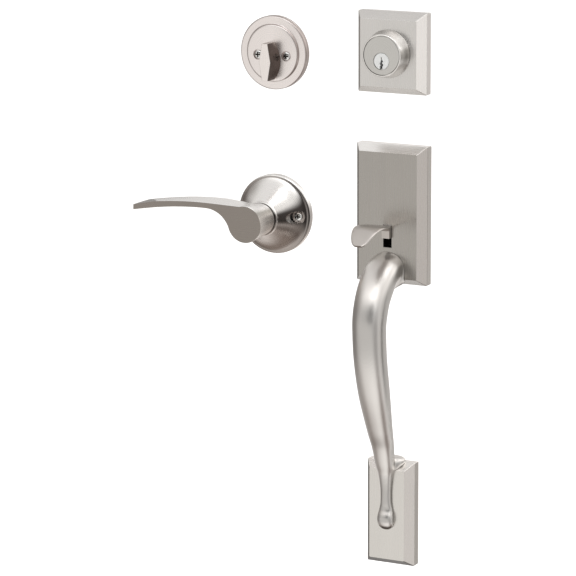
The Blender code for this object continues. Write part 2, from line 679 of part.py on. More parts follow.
def grip_loft():
    rows = spline(grip_stations(), 2)
    rings = []
    for index, (z, standoff, width, depth) in enumerate(rows):
        before, after = rows[max(index - 1, 0)], rows[min(index + 1, len(rows) - 1)]
        tangent = Vector((0, -(after[1] - before[1]), after[0] - before[0])).normalized()
        normal = Vector((0, tangent.z, -tangent.y))
        rings.append(grip_section(Vector((0, FACE_Y - standoff, z)), normal, width, depth))
    return loft(rings)


def grip_saddle():
    """Flared heel that hooks over the lower escutcheon's top bevel."""
    edge_z = -HANDLE_SPAN + LOWER_HEIGHT / 2
    back = -0.32 * SIDE_WALL
    shape = [(1.0, 0.62, 0.2), (0.86, 0.88, 0.06), (0.5, 1.0, -0.02), (0.0, 0.96, -0.08),
             (-0.2, 0.83, -0.12), (-0.4, 0.69, -0.15), (-0.66, 0.56, -0.17), (-1.0, 0.44, -0.18)]
    rings = []
    for along, width, front in shape:
        reach = SADDLE_OVERHANG if along > 0 else SADDLE_LENGTH
        z = edge_z + along * reach
        front_y = FACE_Y * (1 - front)
        centre = Vector((0, (front_y + back) / 2, z))
        rings.append(grip_section(centre, Vector((0, 1, 0)), width * SADDLE_WIDTH,
                                  back - front_y))
    return loft(rings)


def heel_ring(width, top, bottom, y, sides=18):
    """Outline of the heel at one distance from the door: round above and squarer below."""
    middle_z = top - width / 2
    ring = []
    for step in range(sides):
        angle = math.tau * (step + 0.5) / sides
        across, rise = math.cos(angle), math.sin(angle)
        power = 2.0 if rise > 0 else HEEL_SQUARENESS
        size = (abs(across) ** power + abs(rise) ** power) ** (-1 / power)
        reach = width / 2 if rise > 0 else middle_z - bottom
        ring.append((width / 2 * size * across, y, middle_z + reach * size * rise))
    return ring


def grip_heel():
    """Flared base of the grip, which laps over the upper escutcheon's bottom bevel."""
    top = -GRIP_FOOT_DROP + 0.43 * HEEL_WIDTH
    edge = -UPPER_HEIGHT / 2
    shape = [(-1.0, 1.0, 0.0, 0.08), (0.0, 1.0, 0.0, 0.13), (0.08, 0.98, 0.03, 0.15),
             (0.4, 0.87, 0.16, 0.27), (0.8, 0.74, 0.4, 0.49), (1.25, 0.63, 0.8, 0.74),
             (1.75, 0.5, 1.3, 0.96)]
    return loft([heel_ring(wide * HEEL_WIDTH, top - high * HEEL_FLARE, edge - low * HEEL_FLARE,
                           FACE_Y - out * BEVEL_RISE) for out, wide, high, low in shape])


def grip_handle(group, material):
    upper = plate_envelope(UPPER_WIDTH, UPPER_HEIGHT, SEAT)
    lower = moved(plate_envelope(LOWER_WIDTH, LOWER_HEIGHT, SEAT), z=-HANDLE_SPAN)
    screw_holes = [rod_y(side * GRIP_SCREW_OFFSET, -GRIP_FOOT_DROP, FACE_Y + PAST,
                         FACE_Y - GRIP_SCREW_BITE - SEAT, SCREW_RADIUS + SEAT)
                   for side in (-1, 1)]
    stud_hole = rod_y(0, stud_z(), FACE_Y + PAST, FACE_Y - STUD_BITE - SEAT,
                      STUD_RADIUS + SEAT)
    bm = joined(grip_loft(), grip_heel(), grip_saddle())
    bm = cut(bm, upper, lower, *screw_holes, stud_hole)
    add_piece("grip_handle", bm, group, material, smooth=True)


def stud_z():
    return -HANDLE_SPAN - GRIP_END_DROP + STUD_ABOVE_END


def lower_escutcheon(group, material):
    start = INNER_FACE_Y - SHELL_WALL / 2
    z = stud_z() + HANDLE_SPAN
    boss = rod_y(0, z, start, -THIN_COVER, STUD_RADIUS + SHELL_WALL, ROUND_STEPS)
    shell = joined(escutcheon_shell(LOWER_WIDTH, LOWER_HEIGHT), boss,
                   seat_pad(0, LOWER_HEIGHT / 4, start), seat_pad(0, -LOWER_HEIGHT / 4, start))
    hole = rod_y(0, z, FACE_Y - SHELL_WALL, SHELL_WALL, STUD_RADIUS + SEAT)
    add_piece("lower_escutcheon", cut(shell, hole), group, material)
    stud = rod_y(0, z, FACE_Y - STUD_BITE, STUD_REACH, STUD_RADIUS)
    add_piece("foot_stud", stud, group, ZINC, origin=(0, 0, z), smooth=True)


def collar_profile():
    front = FACE_Y - COLLAR_LENGTH
    recess = front + BARREL_FLANGE + SEAT
    spigot_back = FACE_Y + COLLAR_SPIGOT
    edge = COLLAR_EDGE
    slope = COLLAR_ROOT_RADIUS - COLLAR_FRONT_RADIUS
    return [(BARREL_FACE_RADIUS + SEAT, front), (COLLAR_FRONT_RADIUS - edge, front),
            (COLLAR_FRONT_RADIUS, front + edge),
            (COLLAR_FRONT_RADIUS + 0.45 * slope, front + 0.55 * COLLAR_LENGTH),
            (COLLAR_ROOT_RADIUS, FACE_Y - 2 * edge), (COLLAR_ROOT_RADIUS, FACE_Y - SEAT),
            (BARREL_FACE_RADIUS + BARREL_LIP, FACE_Y - SEAT),
            (BARREL_FACE_RADIUS + BARREL_LIP, spigot_back),
            (BARREL_RADIUS + SEAT, spigot_back), (BARREL_RADIUS + SEAT, recess),
            (BARREL_FACE_RADIUS + SEAT, recess)]


def pin_places():
    """Distances of the pin chambers from the door face."""
    first = FACE_Y - COLLAR_LENGTH + FIRST_PIN_SETBACK
    return [first + index * PIN_PITCH for index in range(PIN_COUNT)]


def chamber_top():
    half = COVER_WIDTH / 2
    return math.sqrt(BARREL_RADIUS ** 2 - half ** 2) - THIN_COVER


def outside_deadbolt(group, material):
    spigot = BARREL_FACE_RADIUS + BARREL_LIP
    plate = cut(escutcheon_shell(BOLT_PLATE_WIDTH, BOLT_PLATE_HEIGHT),
                rod_y(0, 0, FACE_Y - SHELL_WALL, INNER_FACE_Y + SHELL_WALL, spigot + SEAT,
                      COLLAR_STEPS))
    pad_z = BOLT_PLATE_HEIGHT / 2 - SHELL_WALL - PAD_RADIUS - BEVEL_RUN
    start = INNER_FACE_Y - SHELL_WALL / 2
    plate = joined(plate, seat_pad(0, pad_z, start), seat_pad(0, -pad_z, start))
    add_piece("deadbolt_escutcheon", plate, group, material)
    add_piece("cylinder_collar", revolve(collar_profile(), COLLAR_STEPS, ring=True), group,
              material, smooth=True)
    cylinder_body(group, material)
    key_plug(group)
    pin_stacks(group)
    cylinder_back(group)


def cylinder_body(group, material):
    front = FACE_Y - COLLAR_LENGTH
    barrel = revolve([(0, front), (BARREL_FACE_RADIUS, front),
                      (BARREL_FACE_RADIUS, front + BARREL_FLANGE),
                      (BARREL_RADIUS, front + BARREL_FLANGE), (BARREL_RADIUS, BARREL_BACK_Y),
                      (0, BARREL_BACK_Y)], COLLAR_STEPS)
    bore = rod_y(0, -PLUG_DROP, front - PAST, BARREL_BACK_Y + PAST,
                 PLUG_RADIUS + RUNNING, ROUND_STEPS)
    places = pin_places()
    cover_y = (places[0] - PIN_PITCH / 2, BARREL_BACK_Y + PAST)
    cover_slot = block((-COVER_WIDTH / 2, COVER_WIDTH / 2), cover_y,
                       (chamber_top(), BARREL_FACE_RADIUS + PAST))
    chambers = [rod((0, y, -PLUG_DROP), (0, y, chamber_top() + PAST), CHAMBER_RADIUS,
                    PIN_STEPS)
                for y in places]
    screw_holes = [rod_y(side * BACK_SCREW_OFFSET, back_screw_z(),
                         BARREL_BACK_Y - BACK_SCREW_BITE - SEAT, BARREL_BACK_Y + PAST,
                         SMALL_SCREW_RADIUS + SEAT, PIN_STEPS) for side in (-1, 1)]
    bm = cut(barrel, bore, cover_slot, *chambers, *screw_holes)
    add_piece("cylinder_body", bm, group, material, smooth=True)
    strip = block((-COVER_WIDTH / 2 + SEAT, COVER_WIDTH / 2 - SEAT),
                  (cover_y[0] + SEAT, BARREL_BACK_Y - SEAT),
                  (chamber_top() + SEAT, chamber_top() + THIN_COVER - COVER_SINK))
    add_piece("chamber_cover", strip, group, BRASS)


def key_plug(group):
    front = FACE_Y - COLLAR_LENGTH
    axis = (0, 0, -PLUG_DROP)
    plug = rod_y(0, -PLUG_DROP, front, BARREL_BACK_Y, PLUG_RADIUS, ROUND_STEPS)
    keyway = block((-KEYWAY_WIDTH / 2, KEYWAY_WIDTH / 2), (front - PAST, BARREL_BACK_Y + PAST),
                   (-PLUG_DROP - PLUG_RADIUS - PAST, -PLUG_DROP + KEYWAY_TOP))
    bores = [rod((0, y, -PLUG_DROP), (0, y, -PLUG_DROP + 2 * PLUG_RADIUS),
                 CHAMBER_RADIUS, PIN_STEPS) for y in pin_places()]
    bm = cut(plug, keyway, *bores)
    add_piece("key_plug", bm, group, KEY_METAL, origin=axis, smooth=True)
    cap_y = BARREL_BACK_Y + SEAT
    cap_end = cap_y + CAP_LENGTH
    cap = revolve([(0, cap_y), (CAP_RADIUS, cap_y), (CAP_RADIUS, cap_end),
                   (0, cap_end)], ROUND_STEPS)
    pocket = rod((0, cap_y - PAST, 0), (0, cap_y + CAP_ROOM + 2 * SEAT, 0),
                 TAILPIECE_WIDTH / 2 + TAILPIECE_HEAD + SEAT, ROUND_STEPS)
    slot = block((-TAILPIECE_WIDTH / 2 - SEAT, TAILPIECE_WIDTH / 2 + SEAT),
                 (cap_y, cap_end + PAST),
                 (-TAILPIECE_THICKNESS / 2 - SEAT, TAILPIECE_THICKNESS / 2 + SEAT))
    add_piece("plug_cap", moved(cut(cap, pocket, slot), z=-PLUG_DROP), group, BRASS, origin=axis)
    head = rod((0, cap_y + SEAT, 0), (0, cap_y + CAP_ROOM, 0),
               TAILPIECE_WIDTH / 2 + TAILPIECE_HEAD, ROUND_STEPS)
    bar = block((-TAILPIECE_WIDTH / 2, TAILPIECE_WIDTH / 2),
                (cap_y + CAP_ROOM / 2, TAILPIECE_REACH),
                (-TAILPIECE_THICKNESS / 2, TAILPIECE_THICKNESS / 2))
    add_piece("tailpiece", moved(joined(head, bar), z=-PLUG_DROP), group, STEEL, origin=axis)


def pin_stacks(group):
    """Key pin, driver pin and spring in each chamber, parted at the edge of the plug."""
    radius = CHAMBER_RADIUS - RUNNING
    shear = -PLUG_DROP + math.sqrt(PLUG_RADIUS ** 2 - radius ** 2) - SHEAR_PLAY
    driver_foot = -PLUG_DROP + PLUG_RADIUS + RUNNING
    coil_radius = radius - SPRING_WIRE_RADIUS
    for number, (y, length) in enumerate(zip(pin_places(), KEY_PIN_LENGTHS), start=1):
        tip = shear - length
        key_pin = revolve([(0, 0), (radius * 0.45, 0), (radius, PIN_TIP), (radius, length),
                           (0, length)], PIN_STEPS)
        bmesh.ops.rotate(key_pin, verts=key_pin.verts, cent=(0, 0, 0),
                         matrix=Matrix.Rotation(math.pi / 2, 3, "X"))
        add_piece(f"key_pin_{number}", moved(key_pin, y=y, z=tip), group, BRASS,
                  origin=(0, y, -PLUG_DROP), smooth=True)
        driver = rod((0, y, driver_foot), (0, y, driver_foot + DRIVER_LENGTH), radius, PIN_STEPS)
        add_piece(f"driver_pin_{number}", driver, group, BRASS, origin=(0, y, driver_foot),
                  smooth=True)
        low = driver_foot + DRIVER_LENGTH + SEAT + SPRING_WIRE_RADIUS
        high = chamber_top() - SPRING_WIRE_RADIUS
        coil = helix(coil_radius, (high - low) / SPRING_TURNS, SPRING_TURNS, SPRING_WIRE_RADIUS,
                     8, 3)
        add_piece(f"pin_spring_{number}", moved(coil, y=y, z=low), group, STEEL,
                  origin=(0, y, low), smooth=True)


def back_screw_z():
    return BACK_PLATE_HEIGHT / 2 - SMALL_HEAD_RADIUS - BACK_PLATE_GAUGE


def cylinder_back(group):
    """Back plate of the cylinder with its two posts and two screws."""
    near = BARREL_BACK_Y + SEAT
    far = near + BACK_PLATE_GAUGE
    plate = loft([plate_ring(BACK_PLATE_WIDTH / 2, BACK_PLATE_HEIGHT / 2, y,
                             radius=BACK_PLATE_CORNER, steps=4) for y in (near, far)])
    stub = POST_RADIUS - THIN_COVER
    post_z = -PLUG_DROP + MOUNT_SCREW_RISE
    centre_hole = rod_y(0, -PLUG_DROP, near - PAST, far + PAST, CAP_RADIUS + RUNNING, ROUND_STEPS)
    post_holes = [rod_y(side * MOUNT_SCREW_OFFSET, post_z, near - PAST, far + PAST, stub + SEAT)
                  for side in (-1, 1)]
    screw_z = back_screw_z()
    screw_holes = [rod_y(side * BACK_SCREW_OFFSET, screw_z, near - PAST, far + PAST,
                         SMALL_SCREW_RADIUS + SEAT, PIN_STEPS) for side in (-1, 1)]
    add_piece("cylinder_back_plate", cut(plate, centre_hole, *post_holes, *screw_holes), group,
              ZINC)
    for side, label in ((-1, "left"), (1, "right")):
        x = side * MOUNT_SCREW_OFFSET
        bm = post(x, post_z, near + SEAT, far + SEAT, stub)
        add_piece(f"deadbolt_post_{label}", bm, group, STEEL, origin=(x, 0, post_z), smooth=True)
        x = side * BACK_SCREW_OFFSET
        bm = screw(x, screw_z, far + SEAT + SMALL_HEAD_HEIGHT, BARREL_BACK_Y - BACK_SCREW_BITE,
                   SMALL_HEAD_RADIUS, SMALL_HEAD_HEIGHT, SMALL_SCREW_RADIUS)
        add_piece(f"back_plate_screw_{label}", bm, group, ZINC, origin=(x, 0, screw_z),
                  smooth=True)


def rose_of_turn(group, material):
    edge, dome, rim = TURN_ROSE_EDGE, TURN_DOME_RADIUS, TURN_ROSE_RADIUS
    crown = edge + TURN_DOME_RISE
    wall = TURN_ROSE_WALL
    profile = [(0, -crown), (0.6 * dome, -edge - 0.96 * TURN_DOME_RISE),
               (dome - 1.2 * MM, -edge - 0.62 * TURN_DOME_RISE), (dome, -edge - 0.4 * TURN_DOME_RISE),
               (dome + 0.5 * MM, -edge - 0.3 * MM), (rim - 0.9 * MM, -edge), (rim, -0.84 * edge),
               (rim, -0.48 * edge), (rim - GROOVE_DEPTH, -0.4 * edge), (rim, -0.32 * edge),
               (rim, 0), (rim - wall, 0), (rim - wall, -edge + 1.5 * wall),
               (rim - 1.5 * wall, -edge + wall), (dome, -edge + wall),
               (dome - 2.5 * MM, -edge - 0.62 * TURN_DOME_RISE + wall),
               (dome * 0.64, -crown + wall), (0, -crown + wall)]
    rose = revolve(profile, ROSE_STEPS)
    screw_z = -TURN_DROP + MOUNT_SCREW_RISE
    pocket = SCREW_HEAD_RADIUS + HEAD_ROOM
    bosses = [rod_y(side * MOUNT_SCREW_OFFSET, screw_z, -crown + wall / 2, -THIN_COVER,
                    pocket + THIN_COVER, ROUND_STEPS) for side in (-1, 1)]
    pad_z = rim - 1.5 * wall - PAD_RADIUS
    pads = [seat_pad(0, side * pad_z, -edge + SEAT) for side in (-1, 1)]
    rose = joined(rose, *bosses, *pads)
    pockets = [rod_y(side * MOUNT_SCREW_OFFSET, screw_z, -2 * crown, turn_pocket_floor(), pocket,
                     ROUND_STEPS) for side in (-1, 1)]
    holes = [rod_y(side * MOUNT_SCREW_OFFSET, screw_z, -2 * crown, crown, SCREW_RADIUS + SEAT)
             for side in (-1, 1)]
    stem_hole = rod_y(0, -TURN_DROP, -2 * crown, crown, STEM_RADIUS + RUNNING, ROUND_STEPS)
    rose = cut(rose, *pockets, *holes, stem_hole)
    add_piece("thumbturn_rose", rose, group, material, smooth=True)


def turn_pocket_floor():
    return -(TURN_ROSE_EDGE + TURN_DOME_RISE) + SCREW_HEAD_HEIGHT + SEAT


def knob_ring(middle_width, end_width, length, y, roundness):
    """Outline of the knob: sides that meet at a ridge, or bulge when rounder, and flat ends."""
    half = length / 2
    count = 8
    side = []
    for step in range(count + 1):
        z = -half + length * step / count
        bulge = 1 - abs(z / half) ** roundness
        side.append(((end_width + (middle_width - end_width) * bulge) / 2, z))
    return [(x, y, z) for x, z in side] + [(-x, y, z) for x, z in reversed(side)]


def turn_knob(group, material):
    axis = (0, 0, -TURN_DROP)
    crown = TURN_ROSE_EDGE + TURN_DOME_RISE
    base_y = -crown - SEAT
    front_y = -crown - KNOB_HEIGHT
    middle = 0.45 * KNOB_BASE_WIDTH + 0.55 * KNOB_FRONT_WIDTH
    edge = KNOB_EDGE
    rings = [knob_ring(KNOB_BASE_WIDTH, KNOB_END_WIDTH, KNOB_LENGTH, base_y, 2.0),
             knob_ring(middle, KNOB_END_WIDTH, KNOB_LENGTH, base_y - 0.5 * KNOB_HEIGHT, 1.5),
             knob_ring(KNOB_FRONT_WIDTH, KNOB_END_WIDTH, KNOB_LENGTH, front_y + edge, 1.0),
             knob_ring(KNOB_FRONT_WIDTH - 2 * edge, KNOB_END_WIDTH - 2 * edge,
                       KNOB_LENGTH - 2 * edge, front_y, 1.0)]
    clip_y = stem_clip_y()
    groove = STEM_RADIUS - CLIP_BITE - SEAT
    stem = revolve([(0, base_y - STEM_ROOT), (STEM_RADIUS, base_y - STEM_ROOT),
                    (STEM_RADIUS, clip_y - SEAT), (groove, clip_y - SEAT),
                    (groove, clip_y + CLIP_GAUGE + SEAT),
                    (STEM_RADIUS, clip_y + CLIP_GAUGE + SEAT), (STEM_RADIUS, STEM_REACH),
                    (0, STEM_REACH)], ROUND_STEPS)
    slot = block((-TAILPIECE_WIDTH / 2 - SEAT, TAILPIECE_WIDTH / 2 + SEAT),
                 (STEM_REACH - STEM_SLOT_DEPTH, STEM_REACH + PAST),
                 (-TAILPIECE_THICKNESS / 2 - SEAT, TAILPIECE_THICKNESS / 2 + SEAT))
    knob = cut(joined(loft(rings), stem), slot)
    add_piece("turn_knob", moved(knob, z=-TURN_DROP), group, material, origin=axis, smooth=True)
    washer_y = -crown + TURN_ROSE_WALL + SEAT
    add_piece("wave_washer", moved(wave_washer(washer_y), z=-TURN_DROP), group, STEEL,
              origin=axis, smooth=True)
    add_piece("stem_clip", moved(open_clip(clip_y), z=-TURN_DROP), group, STEEL, origin=axis)


def stem_clip_y():
    crown = TURN_ROSE_EDGE + TURN_DOME_RISE
    return -crown + TURN_ROSE_WALL + WASHER_GAUGE + 2 * WASHER_WAVE + 2 * SEAT


def wave_washer(near_y):
    """Spring washer with three waves round its rim."""
    inner, outer = STEM_RADIUS + SEAT, STEM_RADIUS + CLIP_RIM
    bm = bmesh.new()
    loops = []
    for step in range(ROUND_STEPS):
        angle = math.tau * step / ROUND_STEPS
        y = near_y + WASHER_WAVE * (1 + math.cos(3 * angle))
        corners = [(inner, y), (outer, y), (outer, y + WASHER_GAUGE), (inner, y + WASHER_GAUGE)]
        loops.append([bm.verts.new((r * math.cos(angle), depth, r * math.sin(angle)))
                      for r, depth in corners])
    for near, far in zip(loops, loops[1:] + loops[:1]):
        skin(bm, near, far)
    bmesh.ops.recalc_face_normals(bm, faces=bm.faces)
    return bm


def open_clip(near_y):
    """Retaining clip, a flat ring with an opening at its foot."""
    inner, outer = STEM_RADIUS - CLIP_BITE, STEM_RADIUS + CLIP_RIM
    start, sweep, count = math.radians(-55), math.radians(290), 16
    arc = [start + sweep * step / count for step in range(count + 1)]
    outline = [(outer * math.cos(a), outer * math.sin(a)) for a in arc]
    outline += [(inner * math.cos(a), inner * math.sin(a)) for a in reversed(arc)]
    return loft([[(x, y, z) for x, z in outline] for y in (near_y, near_y + CLIP_GAUGE)])


def turn_screws(group):
    screw_z = -TURN_DROP + MOUNT_SCREW_RISE
    for side, label in ((-1, "left"), (1, "right")):
        x = side * MOUNT_SCREW_OFFSET
        head_y = turn_pocket_floor() - SEAT - SCREW_HEAD_HEIGHT
        bm = screw(x, screw_z, head_y, TURN_SCREW_REACH, SCREW_HEAD_RADIUS, SCREW_HEAD_HEIGHT,
                   SCREW_RADIUS)
        add_piece(f"thumbturn_screw_{label}", bm, group, ZINC, origin=(x, 0, screw_z),
                  smooth=True)


def trumpet_y(radius):
    """Front surface of the lever rose between its rim and its neck."""
    start, rim_y = LEVER_ROSE_RADIUS - FLARE_START, LEVER_ROSE_EDGE + FLARE_LIFT
    rise = NECK_FRONT - FLARE_END - rim_y
    return -rim_y - rise * ((start - radius) / (start - NECK_RADIUS)) ** FLARE_POWER


def trumpet_back_y(radius):
    """Back surface of the lever rose, which keeps its wall under the flare."""
    start = LEVER_ROSE_RADIUS - FLARE_BACK_START
    floor = LEVER_ROSE_EDGE - LEVER_SHELL + FLARE_LIFT
    rise = NECK_FRONT - FLARE_BACK_END - floor
    return -floor - rise * (max(start - radius, 0) / (start - NECK_BORE)) ** FLARE_BACK_POWER


def lever_rose(group, material):
    rim, edge = LEVER_ROSE_RADIUS, LEVER_ROSE_EDGE
    flare = np.linspace(rim - FLARE_START, NECK_RADIUS, 7)
    inner = np.linspace(NECK_BORE, rim - FLARE_BACK_START, 4)
    profile = [(rim, 0), (rim, -0.84 * edge), (rim - 0.4 * FLARE_START, -edge)]
    profile += [(radius, trumpet_y(radius)) for radius in flare]
    profile += [(NECK_RADIUS - 0.3 * NECK_LIP, -NECK_FRONT + 0.7 * NECK_LIP),
                (NECK_RADIUS - NECK_LIP, -NECK_FRONT), (NECK_BORE, -NECK_FRONT)]
    profile += [(radius, trumpet_back_y(radius)) for radius in inner]
    profile += [(rim - LEVER_SHELL, -0.4 * edge), (rim - LEVER_SHELL, 0)]
    rose = revolve(profile, ROSE_STEPS, ring=True)
    back = -MOUNT_PLATE_GAP - MOUNT_PLATE_GAUGE - SEAT
    bosses = [rod_y(side * LEVER_SCREW_OFFSET, 0, -LEVER_POCKET_FLOOR - LEVER_SHELL, back,
                    LEVER_POCKET_RADIUS + THIN_COVER, ROUND_STEPS) for side in (-1, 1)]
    pockets = [rod_y(side * LEVER_SCREW_OFFSET, 0, -NECK_FRONT, -LEVER_POCKET_FLOOR,
                     LEVER_POCKET_RADIUS, ROUND_STEPS) for side in (-1, 1)]
    holes = [rod_y(side * LEVER_SCREW_OFFSET, 0, -NECK_FRONT, PAST, SCREW_RADIUS + SEAT)
             for side in (-1, 1)]
    release = rod((NECK_BORE - PAST, catch_y(), 0), (NECK_RADIUS + PAST, catch_y(), 0),
                  RELEASE_HOLE_RADIUS, PIN_STEPS)
    rose = cut(joined(rose, *bosses), *pockets, *holes, release)
    add_piece("lever_rose", rose, group, material, smooth=True)


def catch_y():
    return -(NECK_FRONT + HUB_GAP) + SPIGOT_LENGTH / 2


def hub_radius_at(y):
    """The hub narrows evenly from its front edge to its rear."""
    rear_y = -(NECK_FRONT + HUB_GAP)
    share = (y + HUB_FRONT - HUB_EDGE) / (rear_y + HUB_FRONT - HUB_EDGE)
    share = min(max(share, 0.0), 1.0)
    return HUB_RADIUS + (HUB_REAR_RADIUS - HUB_RADIUS) * share


def blade_lines():
    """Rise of the blade's upper and lower lines over the hub's axis, as shares of its length."""
    upper = [(0.15, 0.955), (0.3, 0.99), (0.45, 1.0), (0.62, 0.945), (0.77, 0.845), (0.9, 0.73),
             (1.0, 0.63)]
    lower = [(0.15, 0.955), (0.3, 0.99), (0.45, 0.99), (0.62, 0.91), (0.77, 0.78), (0.9, 0.62),
             (1.0, 0.475)]
    return spline(upper, 2), spline(lower, 2)


def blade_ring(y, length, inset):
    """Outline of the blade at one depth: top, tip, underside and the fillet to the hub."""
    upper, lower = blade_lines()
    half = BLADE_THICKNESS / 2 - inset
    hub = hub_radius_at(y)
    reach = length - inset
    start = 0.25 * HUB_RADIUS
    drop = HUB_RADIUS - hub
    top, under = [(start, math.sqrt((hub - inset) ** 2 - start ** 2) - SHEAR_PLAY)], []
    centre_z = BLADE_RISE - half - FILLET_RADIUS
    centre_u = math.sqrt((hub - inset + FILLET_RADIUS) ** 2 - centre_z ** 2)
    for share, rise in upper:
        slim = half * (1 - BLADE_TAPER * share)
        top.append((share * reach, BLADE_RISE * rise + slim - drop * max(0.0, 1 - share / 0.3)))
    for u in np.linspace(centre_u, reach, 9)[1:]:
        share = u / reach
        rise = float(np.interp(share, lower[:, 0], lower[:, 1]))
        under.append((u, BLADE_RISE * rise - half * (1 - BLADE_TAPER * share)))
    end_angle = math.atan2(-centre_z, -centre_u)
    fillet = []
    for step in range(7):
        angle = math.pi / 2 + (end_angle - math.pi / 2) * step / 6
        fillet.append((centre_u + FILLET_RADIUS * math.cos(angle),
                       centre_z + FILLET_RADIUS * math.sin(angle)))
    outline = top + under[::-1] + fillet + [(0.3 * HUB_RADIUS, -0.2 * HUB_RADIUS)]
    return [(-u, y, z) for u, z in outline]


def tip_facet(blade):
    """Planes off the blade's tip along a slanting crease across its top."""
    front, back = -HUB_FRONT, -HUB_FRONT + BLADE_DEPTH
    upper = blade_lines()[0]

    def crest(u):
        share = u / LEVER_LENGTH
        rise = float(np.interp(share, upper[:, 0], upper[:, 1]))
        return BLADE_RISE * rise + BLADE_THICKNESS / 2 * (1 - BLADE_TAPER * share)

    crease = LEVER_LENGTH - FACET_START
    far = LEVER_LENGTH - BLADE_TIP_CUT
    tip_z = BLADE_RISE * 0.475 + BLADE_THICKNESS / 2 * (1 - BLADE_TAPER)
    near = Vector((-crease, front, crest(crease)))
    normal = (Vector((-LEVER_LENGTH, front, tip_z)) - near).cross(
        Vector((-far, back, crest(far))) - near).normalized()
    normal *= math.copysign(1.0, normal.z)
    bmesh.ops.bisect_plane(blade, geom=blade.verts[:] + blade.edges[:] + blade.faces[:],
                           dist=WELD, plane_co=near, plane_no=normal, clear_outer=True)
    bmesh.ops.holes_fill(blade, edges=[edge for edge in blade.edges if edge.is_boundary])
    bmesh.ops.recalc_face_normals(blade, faces=blade.faces)
    return blade


def lever_handle(group, material):
    front = -HUB_FRONT
    rear = -(NECK_FRONT + HUB_GAP)
    spigot = NECK_BORE - RUNNING
    socket = SLEEVE_RADIUS + SEAT
    hub = revolve([(0, front), (HUB_RADIUS - HUB_EDGE, front), (HUB_RADIUS, front + HUB_EDGE),
                   (HUB_REAR_RADIUS, rear), (spigot, rear), (spigot, rear + SPIGOT_LENGTH),
                   (socket, rear + SPIGOT_LENGTH), (socket, rear - SOCKET_DEPTH),
                   (0, rear - SOCKET_DEPTH)], ROSE_STEPS)
    back = front + BLADE_DEPTH
    blade = loft([blade_ring(front, LEVER_LENGTH, HUB_EDGE),
                  blade_ring(front + HUB_EDGE, LEVER_LENGTH, 0),
                  blade_ring((front + back) / 2, LEVER_LENGTH - 0.36 * BLADE_TIP_CUT, 0),
                  blade_ring(back - HUB_EDGE, LEVER_LENGTH - BLADE_TIP_CUT, 0),
                  blade_ring(back, LEVER_LENGTH - BLADE_TIP_CUT, HUB_EDGE)])
    catch_hole = rod((socket - PAST, catch_y(), 0), (spigot + PAST, catch_y(), 0),
                     CATCH_RADIUS + SEAT, PIN_STEPS)
    lever = joined(hub, tip_facet(blade))
    socket_room = rod_y(0, 0, rear - SOCKET_DEPTH, rear + SPIGOT_LENGTH + PAST,
                        socket - 20 * WELD, ROSE_STEPS)
    lever = cut(lever, socket_room, catch_hole)
    add_piece("lever_handle", lever, group, material, smooth=True)


def lever_works(group):
    """Sleeve, spindle, catch, cage, return spring and mounting plate behind the lever."""
    rear = -(NECK_FRONT + HUB_GAP)
    plate_front = -MOUNT_PLATE_GAP - MOUNT_PLATE_GAUGE
    cage_back = plate_front - SEAT
    cage_front = cage_back - CAGE_DEPTH
    cage_bore = SLEEVE_RADIUS + CAGE_BORE_ROOM
    flange = cage_bore + FLANGE_LAP
    flange_y = cage_front + CAGE_GAUGE + SEAT
    tip = rear - SOCKET_DEPTH + SEAT
    sleeve = revolve([(0, tip), (SLEEVE_RADIUS, tip), (SLEEVE_RADIUS, flange_y),
                      (flange, flange_y), (flange, flange_y + CAGE_GAUGE),
                      (SLEEVE_RADIUS, flange_y + CAGE_GAUGE), (SLEEVE_RADIUS, SLEEVE_REACH),
                      (0, SLEEVE_REACH)], ROUND_STEPS)
    half = SPINDLE_SIDE / 2
    bore = block((-half - SEAT, half + SEAT), (tip - PAST, SLEEVE_REACH + PAST),
                 (-half - SEAT, half + SEAT))
    catch_foot = half + SEAT + CATCH_BITE
    catch_hole = rod((catch_foot, catch_y(), 0), (2 * SLEEVE_RADIUS, catch_y(), 0),
                     CATCH_RADIUS + SEAT, PIN_STEPS)
    add_piece("lever_sleeve", cut(sleeve, bore, catch_hole), group, STEEL, smooth=True)
    catch_tip = NECK_BORE - 2 * RUNNING
    catch = rod((catch_foot + SEAT, catch_y(), 0), (catch_tip, catch_y(), 0), CATCH_RADIUS,
                PIN_STEPS)
    add_piece("lever_catch", catch, group, STEEL, smooth=True)
    spindle = block((-half, half), (rear - SPINDLE_BITE, SPINDLE_REACH), (-half, half))
    add_piece("lever_spindle", spindle, group, ZINC)
    outer = LEVER_SCREW_OFFSET - LEVER_POCKET_RADIUS - THIN_COVER - CAGE_CLEARANCE
    cage = revolve([(outer, cage_back), (outer, cage_front), (cage_bore, cage_front),
                    (cage_bore, cage_front + CAGE_GAUGE),
                    (outer - CAGE_GAUGE, cage_front + CAGE_GAUGE),
                    (outer - CAGE_GAUGE, cage_back)], ROUND_STEPS, ring=True)
    add_piece("spring_cage", cage, group, ZINC, smooth=True)
    wire = RETURN_WIRE_RADIUS
    near = cage_front + CAGE_GAUGE + SEAT + wire
    far = cage_back - wire
    coil_radius = flange + SEAT + wire
    coil = helix(coil_radius, (far - near) / RETURN_TURNS, RETURN_TURNS, wire, 16, 5, axis="Y")
    add_piece("lever_return_spring", moved(coil, y=near), group, STEEL, smooth=True)
    lever_mounting(group, plate_front, cage_bore)


